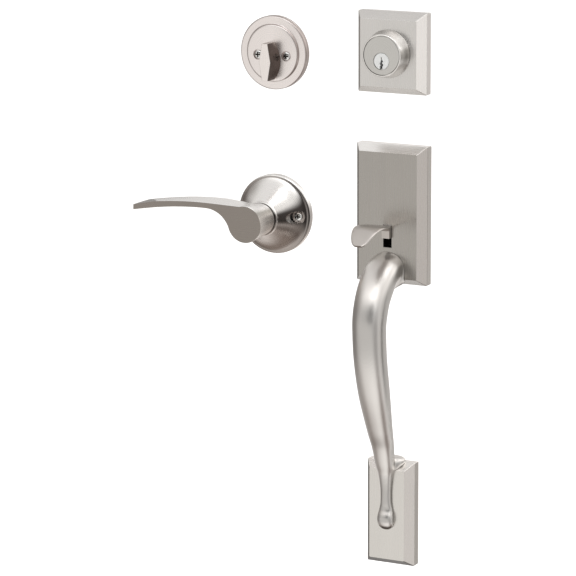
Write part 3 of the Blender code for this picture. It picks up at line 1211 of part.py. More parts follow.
def lever_mounting(group, plate_front, cage_bore):
    radius = LEVER_ROSE_RADIUS - LEVER_SHELL - 2 * SEAT
    disc = rod_y(0, 0, plate_front, -MOUNT_PLATE_GAP, radius, 32)
    feet = [seat_pad(0, side * (cage_bore + 2.4 * PAD_RADIUS),
                     plate_front + MOUNT_PLATE_GAUGE / 2) for side in (-1, 1)]
    bore = rod_y(0, 0, plate_front - PAST, PAST, SLEEVE_RADIUS + RUNNING, ROUND_STEPS)
    holes = [rod_y(side * LEVER_SCREW_OFFSET, 0, plate_front - PAST, PAST, SCREW_RADIUS + SEAT)
             for side in (-1, 1)]
    add_piece("lever_mounting_plate", cut(joined(disc, *feet), bore, *holes), group, ZINC)
    for side, label in ((-1, "left"), (1, "right")):
        x = side * LEVER_SCREW_OFFSET
        head_y = -LEVER_POCKET_FLOOR - SEAT - SCREW_HEAD_HEIGHT
        bm = screw(x, 0, head_y, LEVER_SCREW_REACH, SCREW_HEAD_RADIUS, SCREW_HEAD_HEIGHT,
                   SCREW_RADIUS)
        add_piece(f"lever_screw_{label}", bm, group, ZINC, origin=(x, 0, 0), smooth=True)


clear_scene()

NICKEL = metal("satin_nickel", (0.58, 0.54, 0.50), 0.34)
CAST_NICKEL = metal("cast_satin_nickel", (0.62, 0.58, 0.54), 0.28)
PALE_NICKEL = metal("pale_satin_nickel", (0.72, 0.68, 0.65), 0.36)
KEY_METAL = metal("polished_plug", (0.82, 0.82, 0.80), 0.18)
STEEL = metal("bright_steel", (0.55, 0.55, 0.55), 0.3)
ZINC = metal("zinc_plate", (0.50, 0.50, 0.48), 0.42)
BRASS = metal("brass", (0.66, 0.48, 0.22), 0.3)
BLACK_STEEL = metal("black_coated_steel", (0.012, 0.012, 0.012), 0.55, 0.0)

handle_group = group_empty("outside_handle", 0.0, 0.0)
lower_group = group_empty("handle_foot", 0.0, -HANDLE_SPAN)
bolt_group = group_empty("outside_deadbolt", 0.0, BORE_SPACING)
turn_group = group_empty("inside_thumbturn", INSIDE_OFFSET, TURN_HEIGHT)
lever_group = group_empty("inside_lever", INSIDE_OFFSET, LEVER_HEIGHT)

upper_escutcheon(handle_group, NICKEL)
thumb_piece(handle_group, CAST_NICKEL)
thumb_bracket(handle_group, BLACK_STEEL)
grip_handle(handle_group, CAST_NICKEL)
lower_escutcheon(lower_group, PALE_NICKEL)
outside_deadbolt(bolt_group, PALE_NICKEL)
rose_of_turn(turn_group, PALE_NICKEL)
turn_knob(turn_group, PALE_NICKEL)
turn_screws(turn_group)
lever_rose(lever_group, CAST_NICKEL)
lever_handle(lever_group, CAST_NICKEL)
lever_works(lever_group)
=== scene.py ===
# %% [markdown]
# # An entry door handleset in satin nickel
# The set has four groups that face the person at the door: a deadbolt on its own plate, a tall
# plate with a thumb piece and a bow-shaped grip, and for the inside a thumbturn and a lever.
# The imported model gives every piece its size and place. This script gives each one the
# surface and the fine form that a close look needs.

# %% Load the frame
import json
import math

import bmesh
import bpy
from mathutils import Matrix, Vector

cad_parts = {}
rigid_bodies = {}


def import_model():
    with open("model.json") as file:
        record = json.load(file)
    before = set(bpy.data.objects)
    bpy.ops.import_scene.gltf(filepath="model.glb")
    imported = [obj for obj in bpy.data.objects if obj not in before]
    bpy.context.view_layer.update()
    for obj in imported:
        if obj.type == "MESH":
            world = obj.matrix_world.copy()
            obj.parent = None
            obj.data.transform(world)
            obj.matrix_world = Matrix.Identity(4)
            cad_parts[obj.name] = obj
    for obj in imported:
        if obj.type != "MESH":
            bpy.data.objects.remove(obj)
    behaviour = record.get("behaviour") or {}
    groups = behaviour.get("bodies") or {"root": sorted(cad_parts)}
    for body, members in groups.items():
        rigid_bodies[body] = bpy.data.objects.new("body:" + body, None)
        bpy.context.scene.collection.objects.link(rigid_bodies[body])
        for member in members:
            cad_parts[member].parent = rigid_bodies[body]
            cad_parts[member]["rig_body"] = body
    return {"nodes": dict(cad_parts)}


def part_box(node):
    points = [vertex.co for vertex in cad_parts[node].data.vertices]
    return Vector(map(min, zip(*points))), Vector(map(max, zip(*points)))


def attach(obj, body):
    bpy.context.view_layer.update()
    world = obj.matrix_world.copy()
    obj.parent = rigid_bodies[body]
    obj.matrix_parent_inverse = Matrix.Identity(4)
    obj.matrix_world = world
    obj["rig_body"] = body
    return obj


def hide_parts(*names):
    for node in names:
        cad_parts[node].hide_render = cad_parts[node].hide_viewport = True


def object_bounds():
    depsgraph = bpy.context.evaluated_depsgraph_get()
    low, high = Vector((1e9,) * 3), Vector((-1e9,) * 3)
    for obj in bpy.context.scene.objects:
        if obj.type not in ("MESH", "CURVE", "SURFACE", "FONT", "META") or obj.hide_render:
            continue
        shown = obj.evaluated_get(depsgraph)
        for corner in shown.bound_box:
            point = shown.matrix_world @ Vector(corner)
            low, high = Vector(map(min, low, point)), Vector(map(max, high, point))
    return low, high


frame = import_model()
cad_low, cad_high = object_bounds()
nodes = frame["nodes"]
MM = 0.001
WELD = 0.001 * MM
SIDES = ("left", "right")


def middle(name):
    """Centre of a CAD node's box."""
    low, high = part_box(name)
    return (low + high) / 2


def reach(name):
    """Half the width of a CAD node's box, which is the radius of a round one."""
    low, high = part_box(name)
    return (high.x - low.x) / 2


print("nodes", len(nodes), "box in mm", [round(v / MM, 1) for v in cad_high - cad_low])

# %% [markdown]
# ## Camera
# The photograph is taken from the right and a little above with a long lens, so the plates keep
# nearly parallel edges. The camera stands on a line through a target point, given by an azimuth
# and an elevation, which is easier to reason about than three coordinates.

# %% Camera
AZIMUTH = math.radians(27.41)
ELEVATION = math.radians(12.03)
ROLL = math.radians(-0.22)
DISTANCE = 2800 * MM
LENS = 198.3
SENSOR = 36.0
VIEW_END = 60.0
TARGET = Vector((-105.21, 0.0, -76.64)) * MM

toward_camera = Vector((math.sin(AZIMUTH) * math.cos(ELEVATION),
                        -math.cos(AZIMUTH) * math.cos(ELEVATION), math.sin(ELEVATION)))
camera_data = bpy.data.cameras.new("camera")
camera_data.lens = LENS
camera_data.sensor_width = SENSOR
camera_data.clip_end = VIEW_END
camera = bpy.data.objects.new("camera", camera_data)
bpy.context.scene.collection.objects.link(camera)
aim = (-toward_camera).to_track_quat("-Z", "Y").to_matrix()
camera.matrix_world = (Matrix.Translation(TARGET + toward_camera * DISTANCE)
                       @ (aim @ Matrix.Rotation(ROLL, 3, "Z")).to_4x4())
bpy.context.scene.camera = camera
bpy.context.scene.view_settings.view_transform = "Standard"
print("camera at", [round(v, 3) for v in camera.matrix_world.translation])

# %% [markdown]
# ## Node helpers
# The studio and the metals are both trees of shader nodes. A few helpers keep them short: each
# makes one kind of node and fills its sockets, and a socket takes either a plain value or
# another node's output.

# %% Node helpers
def feed(tree, socket, value):
    """Links another node's output to a socket, or sets the socket to a plain value."""
    if isinstance(value, bpy.types.NodeSocket):
        tree.links.new(value, socket)
    elif socket.type == "RGBA":
        socket.default_value = (*value, 1.0)
    else:
        socket.default_value = value


def node(tree, kind, settings=None, **inputs):
    """New node with its settings made and its sockets fed, with _ for a space in a name."""
    made = tree.nodes.new(kind)
    for name, value in (settings or {}).items():
        setattr(made, name, value)
    for name, value in inputs.items():
        feed(tree, made.inputs[name.replace("_", " ")], value)
    return made


def computed(tree, operation, *values, kind="Math", result="Value"):
    """Result of a Math or VectorMath node whose sockets are fed in order."""
    made = node(tree, "ShaderNode" + kind, {"operation": operation})
    for socket, value in zip(made.inputs, values):
        feed(tree, socket, value)
    return made.outputs[result]


def mixed(tree, factor, first, second, kind="RGBA"):
    """Goes from the first colour or number to the second as factor goes from 0 to 1."""
    made = node(tree, "ShaderNodeMix", {"data_type": kind}, Factor=factor, A=first, B=second)
    return made.outputs["Result"]


def faded(tree, value, start, end):
    """Soft mask that is 0 where the value is at start and 1 where it is at end."""
    made = node(tree, "ShaderNodeMapRange", {"interpolation_type": "SMOOTHSTEP"}, Value=value,
                From_Min=start, From_Max=end)
    return made.outputs["Result"]


# %% [markdown]
# ## Studio
# Satin metal shows its surroundings more than its own colour, so the studio is most of the
# finish. A world shader made of soft lobes gives the broad panels that the metal mirrors:
# softboxes above the camera, pale walls at the back and on the right, a bright sheet below and
# a warm dark ground. A dim panel right of the camera and a small dark gap above it draw the dark
# accents on the collar and on the bow of the grip. Each lobe is the angle between a view ray and
# one direction, turned into a soft mask, and a later lobe covers the ones before it. Behind the
# set the world is plain white, like the photograph's cut-out background, and only reflections
# see the lobes.

# %% World of soft lobes
WHITE = (1.0, 1.0, 1.0)
AMBIENT = (0.80, 0.79, 0.77)
LOBES = {
    # direction, colour, full inside this angle, gone outside this one
    "ground": ((0.0, 0.0, -1.0), (0.20, 0.165, 0.145), 35, 80),
    "back wall": ((0.0, 1.0, 0.0), (0.85, 0.83, 0.81), 50, 80),
    "right wall": ((1.0, -0.1, 0.0), (1.04, 1.02, 1.00), 25, 48),
    "rim softbox": ((0.64, 0.60, 0.46), (1.45, 1.43, 1.40), 13, 31),
    "gap in the right wall": ((0.92, 0.36, -0.19), (0.10, 0.095, 0.09), 7, 18),
    "left wall": ((-1.0, -0.2, 0.0), (0.30, 0.28, 0.265), 20, 50),
    "left corner, low": ((-0.66, 0.72, -0.20), (0.20, 0.19, 0.18), 10, 27),
    "left corner, high": ((-0.45, 0.68, 0.58), (0.45, 0.43, 0.41), 8, 20),
    "sheet below": ((-0.10, -0.70, -0.65), (0.95, 0.93, 0.90), 18, 34),
    "panel left of the camera": ((-0.45, -0.87, -0.21), (0.84, 0.82, 0.79), 15, 35),
    "dim panel right of the camera": ((0.57, -0.80, -0.15), (0.48, 0.465, 0.45), 10, 28),
    "main softbox": ((0.05, -0.80, 0.60), (1.45, 1.45, 1.44), 15, 31),
    "left softbox": ((-0.30, -0.60, 0.72), (1.45, 1.44, 1.43), 9, 24),
    "dark gap above the camera": ((-0.06, -0.945, 0.28), (0.01, 0.009, 0.008), 11, 20),
    "ceiling": ((-0.2, 0.1, 1.0), (0.82, 0.81, 0.80), 25, 55),
}

world = bpy.data.worlds.new("studio")
world.use_nodes = True
bpy.context.scene.world = world
tree = world.node_tree
ray = tree.nodes.new("ShaderNodeTexCoord").outputs["Generated"]
surroundings = AMBIENT
for direction, tint, inside, outside in LOBES.values():
    nearness = computed(tree, "DOT_PRODUCT", ray, Vector(direction).normalized(),
                        kind="VectorMath")
    mask = faded(tree, nearness, math.cos(math.radians(outside)), math.cos(math.radians(inside)))
    surroundings = mixed(tree, mask, surroundings, tint)
camera_ray = tree.nodes.new("ShaderNodeLightPath").outputs["Is Camera Ray"]
feed(tree, tree.nodes["Background"].inputs["Color"],
     mixed(tree, camera_ray, surroundings, WHITE))
print("world lobes", len(LOBES))

# %% [markdown]
# A plain pale floor lies well below the set and stretches past the view on every side. It is
# hidden from glossy rays, so that the metal mirrors the studio's soft lobes and not one hard
# horizon. A little light of its own keeps it white in the render.

# %% Floor
FLOOR_SIZE = 30.0
FLOOR_DROP = 120 * MM
FLOOR_LOOK = {"Base Color": (0.97, 0.97, 0.97), "Roughness": 0.9, "Specular IOR Level": 0.0,
              "Emission Color": WHITE, "Emission Strength": 0.35}

floor_bm = bmesh.new()
bmesh.ops.create_grid(floor_bm, x_segments=1, y_segments=1, size=FLOOR_SIZE / 2)
floor_mesh = bpy.data.meshes.new("floor")
floor_bm.to_mesh(floor_mesh)
floor_bm.free()
floor = bpy.data.objects.new("floor", floor_mesh)
bpy.context.scene.collection.objects.link(floor)
floor.location.z = cad_low.z - FLOOR_DROP
floor.visible_glossy = False
pale = bpy.data.materials.new("pale_floor")
pale.use_nodes = True
for socket, value in FLOOR_LOOK.items():
    feed(pale.node_tree, pale.node_tree.nodes["Principled BSDF"].inputs[socket], value)
floor_mesh.materials.append(pale)
print("floor at", round(floor.location.z, 3))

# %% [markdown]
# Two large area lights add a key from above the camera and a fill from overhead. They are wide,
# so that the plates' edges get soft gradients and no hard shadow.

# %% Lights
def softbox(name, direction, distance, size, watts):
    """Area light that looks at the camera's target from a direction and a distance."""
    data = bpy.data.lights.new(name, "AREA")
    data.shape = "RECTANGLE"
    data.size, data.size_y = size
    data.energy = watts
    light = bpy.data.objects.new(name, data)
    bpy.context.scene.collection.objects.link(light)
    way = Vector(direction).normalized()
    light.matrix_world = (Matrix.Translation(TARGET + way * distance)
                          @ way.to_track_quat("Z", "Y").to_matrix().to_4x4())
    light.visible_camera = False
    print("light", name, watts, "W")


softbox("key", direction=(0.0, -0.72, 0.70), distance=2.2, size=(0.9, 0.7), watts=3)
softbox("overhead", direction=(0.3, 0.1, 1.0), distance=2.0, size=(1.6, 1.6), watts=8)

# %% [markdown]
# ## Satin nickel
# Brushed metal is a mirror with thousands of fine scratches in one direction. Three things
# make it here: a metallic base, a noise stretched along the grain that varies the roughness
# and lifts a very fine bump, and anisotropy, which spreads highlights across the grain. The
# grain of a plate turns with its faces, so a mask from the surface normal picks between an
# upright and a level grain. A turned piece has rings, from a noise that reads the distance to
# its axis, and a cast one has short soft blotches.

# %% Grain
GRAIN_FINE = 1500.0
GRAIN_LONG = 18.0
CAST_GRAIN = (420.0, 420.0, 160.0)
GRAIN_ROUGHNESS = 0.6
NOISE_LOW, NOISE_HIGH = 0.25, 0.75
LEVEL_FACE = 0.5


def stretched_noise(tree, at, scale, detail=3.0):
    """Noise that changes quickly along the axes with a large scale and slowly along the rest."""
    mapping = node(tree, "ShaderNodeMapping", Vector=at, Scale=scale)
    noise = node(tree, "ShaderNodeTexNoise", Vector=mapping.outputs["Vector"], Scale=1.0,
                 Detail=detail, Roughness=GRAIN_ROUGHNESS)
    return noise.outputs["Fac"]


def ring_noise(tree, at, centre):
    """Noise in fine rings about the Y axis through a point."""
    moved = node(tree, "ShaderNodeMapping", Vector=at, Location=[-v for v in centre])
    flat = computed(tree, "MULTIPLY", moved.outputs["Vector"], (1.0, 0.0, 1.0),
                    kind="VectorMath", result="Vector")
    radius = computed(tree, "LENGTH", flat, kind="VectorMath")
    noise = node(tree, "ShaderNodeTexNoise", {"noise_dimensions": "1D"}, W=radius,
                 Scale=GRAIN_FINE, Detail=3.0)
    return noise.outputs["Fac"]


def ranged(tree, noise, low, high):
    """Spreads the middle of a noise from low to high."""
    made = node(tree, "ShaderNodeMapRange", Value=noise, From_Min=NOISE_LOW, From_Max=NOISE_HIGH,
                To_Min=low, To_Max=high)
    return made.outputs["Result"]


def grain_noise(tree, grain, at, normal, centre):
    """Noise of a grain that is upright, along X, turned about centre, or cast."""
    upright, level = (GRAIN_FINE, GRAIN_FINE, GRAIN_LONG), (GRAIN_LONG, GRAIN_FINE, GRAIN_FINE)
    if grain == "upright":
        is_level = computed(tree, "GREATER_THAN",
                            computed(tree, "ABSOLUTE", normal.outputs["Z"]), LEVEL_FACE)
        return mixed(tree, is_level, stretched_noise(tree, at, upright),
                     stretched_noise(tree, at, level), kind="FLOAT")
    if grain == "turned":
        return ring_noise(tree, at, centre)
    return stretched_noise(tree, at, level if grain == "along" else CAST_GRAIN)


# %% [markdown]
# Real faces that look different ways mirror different parts of the room. The lobes give most of
# that, and painted light on the faces that look one way gives the rest: painted reflection and
# painted shade. Each facing is a component of the surface normal with the values between which
# its painted light fades in. A later facing covers the ones before it.

# %% Facings
FACINGS = {
    # the normal's component, where the painted light starts and where it is full
    "right": ("X", 0.12, 0.42),
    "flank": ("X", 0.58, 0.84),
    "side": ("X", 0.35, 0.65),
    "wall": ("X", 0.86, 0.97),
    "upward": ("Z", 0.20, 0.46),
    "downward": ("Z", -0.05, -0.30),
    "top": ("Z", 0.35, 0.65),
    "crown": ("Z", 0.62, 0.90),
    "under": ("Z", -0.35, -0.65),
}


def with_painted_light(tree, normal, colour, painted_light):
    """Base colour with each facing's painted light and shade on its faces; side takes both sides.
    """
    for way, (axis, start, end) in FACINGS.items():
        if way in painted_light:
            component = normal.outputs[axis]
            if way == "side":
                component = computed(tree, "ABSOLUTE", component)
            # Paints this facing's light and shade into the base colour.
            colour = mixed(tree, faded(tree, component, start, end), colour, painted_light[way])
    return colour


print("facings", len(FACINGS))

# %% [markdown]
# The three shades below add up to about 1 and multiply the base colour. The streaks follow the
# grain, and wide clouds and tall bands keep large faces from looking printed.

# %% Satin metal
BUMP_DEPTH = 0.05 * MM
ANISOTROPY = 0.3
SMOOTHER, ROUGHER = -0.025, 0.03
STREAK_SHADE = (0.482, 0.494)
CLOUDS, CLOUD_DETAIL, CLOUD_SHADE = (34.0, 34.0, 16.0), 2.0, (0.24, 0.27)
BANDS, BAND_DETAIL, BAND_SHADE = (90.0, 90.0, 4.0), 1.0, (0.245, 0.265)
BRUSHED = {
    # the axis of the tangent and the turn of the highlight, as a share of a full turn
    "upright": ("Z", 0.0),
    "along": ("X", 0.0),
    "turned": ("Y", 0.25),
}


def satin(name, colour, roughness, grain="cast", strength=0.02, centre=(0, 0, 0), metallic=1.0,
          **painted_light):
    """Satin metal with a grain, and painted light and shade on the faces of each named facing."""
    material = bpy.data.materials.new(name)
    material.use_nodes = True
    tree = material.node_tree
    coords = tree.nodes.new("ShaderNodeTexCoord")
    at = coords.outputs["Object"]
    normal = node(tree, "ShaderNodeSeparateXYZ", Vector=coords.outputs["Normal"])
    streak = grain_noise(tree, grain, at, normal, centre)
    shade = computed(tree, "ADD", ranged(tree, streak, *STREAK_SHADE), ranged(
        tree, stretched_noise(tree, at, CLOUDS, CLOUD_DETAIL), *CLOUD_SHADE))
    shade = computed(tree, "ADD", shade, ranged(
        tree, stretched_noise(tree, at, BANDS, BAND_DETAIL), *BAND_SHADE))
    # The base colour carries the painted reflection and shade of the facings.
    toned = node(tree, "ShaderNodeVectorMath", {"operation": "SCALE"},
                 Vector=with_painted_light(tree, normal, colour, painted_light), Scale=shade)
    bump = node(tree, "ShaderNodeBump", Height=streak, Strength=strength, Distance=BUMP_DEPTH)
    look = {"Base Color": toned.outputs["Vector"], "Metallic": metallic,
            "Roughness": ranged(tree, streak, roughness + SMOOTHER, roughness + ROUGHER),
            "Normal": bump.outputs["Normal"]}
    if grain in BRUSHED:
        axis, highlight_turn = BRUSHED[grain]
        tangent = node(tree, "ShaderNodeTangent", {"direction_type": "RADIAL", "axis": axis})
        look.update({"Tangent": tangent.outputs["Tangent"], "Anisotropic": ANISOTROPY,
                     "Anisotropic Rotation": highlight_turn})
    for socket, value in look.items():
        feed(tree, tree.nodes["Principled BSDF"].inputs[socket], value)
    return material


# %% [markdown]
# ## From bmesh to piece
# Every piece is modelled in a bmesh and then handed over in one place: the mesh gets its
# metal, its smooth faces and its sharp edges, rides on the body of the CAD node it stands for,
# and that node is hidden. A Weighted Normal modifier keeps wide flat faces flat beside their
# rounded edges. It is applied at once, so no modifier stays live on a finished piece.

# %% From bmesh to piece
def placed(bm, x=0.0, y=0.0, z=0.0):
    """Moves a whole bmesh."""
    bmesh.ops.translate(bm, verts=bm.verts, vec=(x, y, z))
    return bm


def piece(name, bm, stands_for, material, smooth=35.0, weighted=False):
    """Turns a bmesh into a piece that rides on the body of the CAD node it stands for."""
    mesh = bpy.data.meshes.new(name)
    bm.to_mesh(mesh)
    bm.free()
    mesh.materials.append(material)
    mesh.shade_smooth()
    mesh.set_sharp_from_angle(angle=math.radians(smooth))
    thing = bpy.data.objects.new(name, mesh)
    bpy.context.scene.collection.objects.link(thing)
    if weighted:
        normals = thing.modifiers.new("normals", "WEIGHTED_NORMAL")
        normals.keep_sharp = True
        depsgraph = bpy.context.evaluated_depsgraph_get()
        thing.data = bpy.data.meshes.new_from_object(thing.evaluated_get(depsgraph))
        thing.data.name = name
        thing.modifiers.clear()
        bpy.data.meshes.remove(mesh)
    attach(thing, nodes[stands_for]["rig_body"])
    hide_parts(stands_for)
    print(name, "faces", len(thing.data.polygons))
    return thing


# %% [markdown]
# ## Plates
# The three plates are cast shells with a bevelled border and a fine groove above the side
# wall. Their solids are right as they are, so each is copied and its sharp edges get the small
# radius that polishing leaves, because it is this radius that catches the light. A CAD mesh is
# loose triangles, so the copy is merged first and its flat faces are made whole again.

# %% Plate metals
# Each plate's nickel has its own brightness, set for the light that falls on it. Its side, wall,
# top and under colours are painted reflection and painted shade; the foot plate's dark under
# colour is painted shade on its bottom bevel.
UPPER_PLATE_METAL = satin("upper_plate_nickel", (0.45, 0.43, 0.405), 0.27, "upright",
                          side=(0.51, 0.48, 0.455), wall=(0.47, 0.445, 0.42),
                          top=(0.97, 0.95, 0.93), under=(0.62, 0.60, 0.58))
LOWER_PLATE_METAL = satin("foot_plate_nickel", (0.79, 0.77, 0.74), 0.26, "upright",
                          side=(0.62, 0.59, 0.565), wall=(0.41, 0.385, 0.36),
                          top=(0.97, 0.94, 0.91), under=(0.06, 0.05, 0.045))
DEADBOLT_METAL = satin("deadbolt_plate_nickel", (0.735, 0.72, 0.705), 0.27, "upright",
                       side=(0.85, 0.825, 0.80), wall=(0.65, 0.62, 0.60),
                       top=(0.68, 0.66, 0.64), under=(0.84, 0.82, 0.79))
PLATES = {"upper_escutcheon": UPPER_PLATE_METAL, "lower_escutcheon": LOWER_PLATE_METAL,
          "deadbolt_escutcheon": DEADBOLT_METAL}
print("plate metals", [metal.name for metal in PLATES.values()])

# %% Plates
EDGE_RADIUS = 0.15 * MM
SHARP_EDGE = math.radians(24.0)
FLAT = math.radians(1.0)


def copied(name):
    """A merged copy of a CAD node's mesh, with its flat faces made whole."""
    bm = bmesh.new()
    bm.from_mesh(nodes[name].data)
    bmesh.ops.remove_doubles(bm, verts=bm.verts, dist=2 * WELD)
    bmesh.ops.dissolve_limit(bm, angle_limit=FLAT, verts=bm.verts, edges=bm.edges)
    return bm


for plate, metal in PLATES.items():
    shell = copied(plate)
    sharp = [edge for edge in shell.edges if len(edge.link_faces) == 2
             and edge.calc_face_angle(0.0) > SHARP_EDGE]
    bmesh.ops.bevel(shell, geom=sharp, offset=EDGE_RADIUS, offset_type="OFFSET", segments=3,
                    profile=0.5, affect="EDGES", clamp_overlap=True, material=-1)
    piece(plate + "_fine", shell, plate, metal, smooth=40.0, weighted=True)

# %% [markdown]
# ## Deadbolt
# The collar is turned: its wall flares toward the plate and ends in a short straight band. A
# turned piece is a profile of (radius, depth) points spun about the Y axis. The full spin asks
# for use_merge, so that the last step meets the first. A profile that starts on the axis is
# closed by the axis, and any other is closed by an edge from its end to its start.

# %% Collar
CLEAR = 0.3 * MM
COLLAR_FRONT = 18.2 * MM
COLLAR_ROUND = 0.6 * MM
COLLAR_BAND = 0.9 * MM
COLLAR_STRAIGHT = 0.8
COLLAR_POWER = 7
COLLAR_LIP = 1.2 * MM
FACE_GAP = 0.45 * MM
BARREL_FACE_EXTRA = 0.45 * MM
BARREL_RADIUS = 14.2 * MM
BARREL_FLANGE = 3.0 * MM


def shares(count):
    """Even steps from 0 to 1."""
    return [step / count for step in range(count + 1)]


def turned(profile, steps=128):
    """Spins (radius, y) points about the Y axis into a closed solid."""
    bm = bmesh.new()
    points = [bm.verts.new((radius, y, 0.0)) for radius, y in profile]
    edges = [bm.edges.new(pair) for pair in zip(points, points[1:])]
    if profile[0][0] > 0:
        edges.append(bm.edges.new((points[-1], points[0])))
    bmesh.ops.spin(bm, geom=points + edges, cent=(0, 0, 0), axis=(0, 1, 0), angle=math.tau,
                   steps=steps, use_merge=True)
    bmesh.ops.remove_doubles(bm, verts=bm.verts, dist=WELD)
    bmesh.ops.recalc_face_normals(bm, faces=bm.faces)
    return bm


bolt = middle("cylinder_collar")
collar_root = reach("cylinder_collar")
bolt_front, collar_back = (corner.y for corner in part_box("cylinder_collar"))
plate_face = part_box("deadbolt_escutcheon")[0].y
collar_foot = plate_face - CLEAR
barrel_face = reach("cylinder_body") + BARREL_FACE_EXTRA
seat = bolt_front + BARREL_FLANGE + CLEAR
flare_depth = plate_face - bolt_front - COLLAR_ROUND - COLLAR_BAND
collar_wall = [(COLLAR_FRONT + (collar_root - COLLAR_FRONT)
                * (COLLAR_STRAIGHT * t + (1 - COLLAR_STRAIGHT) * t ** COLLAR_POWER),
                bolt_front + COLLAR_ROUND + flare_depth * t) for t in shares(14)]
collar_rim = [(COLLAR_FRONT - COLLAR_ROUND * (1 - math.sin(math.pi / 2 * t)),
               bolt_front + COLLAR_ROUND * (1 - math.cos(math.pi / 2 * t)))
              for t in shares(5)[:-1]]
collar = turned([(barrel_face + FACE_GAP, bolt_front), *collar_rim, *collar_wall,
                 (collar_root, collar_foot), (barrel_face + COLLAR_LIP, collar_foot),
                 (barrel_face + COLLAR_LIP, collar_back),
                 (BARREL_RADIUS + CLEAR, collar_back), (BARREL_RADIUS + CLEAR, seat),
                 (barrel_face + FACE_GAP, seat)])
# The collar's flank, upward, downward and crown colours are painted reflection and painted shade.
COLLAR_METAL = satin("collar_nickel", (0.90, 0.88, 0.86), 0.24, "turned", centre=bolt,
                     flank=(0.42, 0.405, 0.38), upward=(0.98, 0.96, 0.94),
                     downward=(0.78, 0.76, 0.74), crown=(0.48, 0.46, 0.44))
piece("collar_fine", placed(collar, z=bolt.z), "cylinder_collar", COLLAR_METAL)

# %% [markdown]
# Holes are cut with exact Booleans, whose tools are simple bars and blocks. A Boolean is a
# modifier, so both meshes become objects for a moment, and the result is read back into a
# bmesh at once.

# %% Booleans and their tools
def held(bm, name):
    """Object that holds a bmesh for a modifier; the bmesh is used up."""
    mesh = bpy.data.meshes.new(name)
    bm.to_mesh(mesh)
    bm.free()
    thing = bpy.data.objects.new(name, mesh)
    bpy.context.scene.collection.objects.link(thing)
    return thing


def dropped(thing):
    """Removes an object and its mesh."""
    mesh = thing.data
    bpy.data.objects.remove(thing, do_unlink=True)
    bpy.data.meshes.remove(mesh)


def applied(bm, kind, **settings):
    """Result of one modifier on a bmesh, which is used up."""
    thing = held(bm, "scratch")
    modifier = thing.modifiers.new(kind, kind)
    for name, value in settings.items():
        setattr(modifier, name, value)
    evaluated = thing.evaluated_get(bpy.context.evaluated_depsgraph_get())
    result = bmesh.new()
    result.from_mesh(evaluated.to_mesh())
    evaluated.to_mesh_clear()
    dropped(thing)
    return result


def combined(base, *tools, operation="DIFFERENCE"):
    """Exact Boolean of closed bmeshes, which are all used up."""
    for tool in tools:
        other = held(tool, "tool")
        base = applied(base, "BOOLEAN", operation=operation, solver="EXACT", object=other)
        dropped(other)
    return base


def joined(base, *tools):
    """Closed bmeshes made one."""
    return combined(base, *tools, operation="UNION")


def bar(start, end, radius, steps=48):
    """Round bar between two points."""
    start, end = Vector(start), Vector(end)
    bm = bmesh.new()
    place = (Matrix.Translation((start + end) / 2)
             @ (end - start).to_track_quat("Z", "Y").to_matrix().to_4x4())
    bmesh.ops.create_cone(bm, cap_ends=True, segments=steps, radius1=radius, radius2=radius,
                          depth=(end - start).length, matrix=place)
    return bm


def bar_y(x, z, back, front, radius, steps=48):
    """Round bar along Y between two depths."""
    return bar((x, back, z), (x, front, z), radius, steps)


def block(x, y, z):
    """Box between (low, high) pairs on each axis."""
    bm = bmesh.new()
    centre = [(low + high) / 2 for low, high in (x, y, z)]
    size = [abs(high - low) for low, high in (x, y, z)]
    bmesh.ops.create_cube(bm, size=1.0, matrix=Matrix.Translation(centre)
                          @ Matrix.Diagonal((*size, 1.0)))
    return bm


# %% [markdown]
# The barrel's flat face is bored off centre for the plug. The five pin chambers are cut
# through barrel and plug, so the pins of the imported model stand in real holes.

# %% Barrel
PAST = 1.0 * MM
FACE_CHAMFER = 0.25 * MM
PIN_CHAMBER = 1.6 * MM
COVER_SLOT = 2.5 * MM
COVER_LEAD = 2.0 * MM
BACK_SCREW_HOLE = 1.5 * MM
PLUG_FLANGE = 7.1 * MM
PLUG_FLANGE_DEPTH = 1.6 * MM
BARREL_METAL = satin("barrel_nickel", (0.64, 0.63, 0.61), 0.26, "turned", centre=bolt)
barrel_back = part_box("cylinder_body")[1].y
plug_radius = reach("key_plug")
plug_z = middle("plug_cap").z
pins = [middle(f"key_pin_{number}") for number in range(1, 6)]
pin_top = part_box("chamber_cover")[0].z
back_screws = [middle("back_plate_screw_" + side) for side in SIDES]
screw_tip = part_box("back_plate_screw_left")[0].y
barrel = turned([(0, bolt_front), (barrel_face - FACE_CHAMFER, bolt_front),
                 (barrel_face, bolt_front + FACE_CHAMFER),
                 (barrel_face, bolt_front + BARREL_FLANGE),
                 (BARREL_RADIUS, bolt_front + BARREL_FLANGE), (BARREL_RADIUS, barrel_back),
                 (0, barrel_back)], steps=96)
barrel = combined(placed(barrel, z=bolt.z),
                  bar_y(0, plug_z, bolt_front - PAST, barrel_back + PAST,
                        plug_radius + CLEAR / 2, 64),
                  bar_y(0, plug_z, bolt_front - PAST, bolt_front + PLUG_FLANGE_DEPTH + CLEAR,
                        PLUG_FLANGE + CLEAR, 96),
                  *[bar_y(at.x, at.z, screw_tip - CLEAR, barrel_back + PAST, BACK_SCREW_HOLE, 24)
                    for at in back_screws],
                  block((-COVER_SLOT, COVER_SLOT), (pins[0].y - COVER_LEAD, barrel_back + PAST),
                        (pin_top - CLEAR, bolt.z + barrel_face + PAST)),
                  *[bar((0, pin.y, plug_z), (0, pin.y, pin_top), PIN_CHAMBER, 24)
                    for pin in pins])
piece("barrel_fine", barrel, "cylinder_body", BARREL_METAL, weighted=True)

# %% [markdown]
# The plug has the jagged keyway that keeps a wrong key out. The keyway is a prism: a loft of
# its outline from one depth to the other. A loft grows from ring to ring, where the edges of
# each ring are extruded and the new ones are moved onto the next.

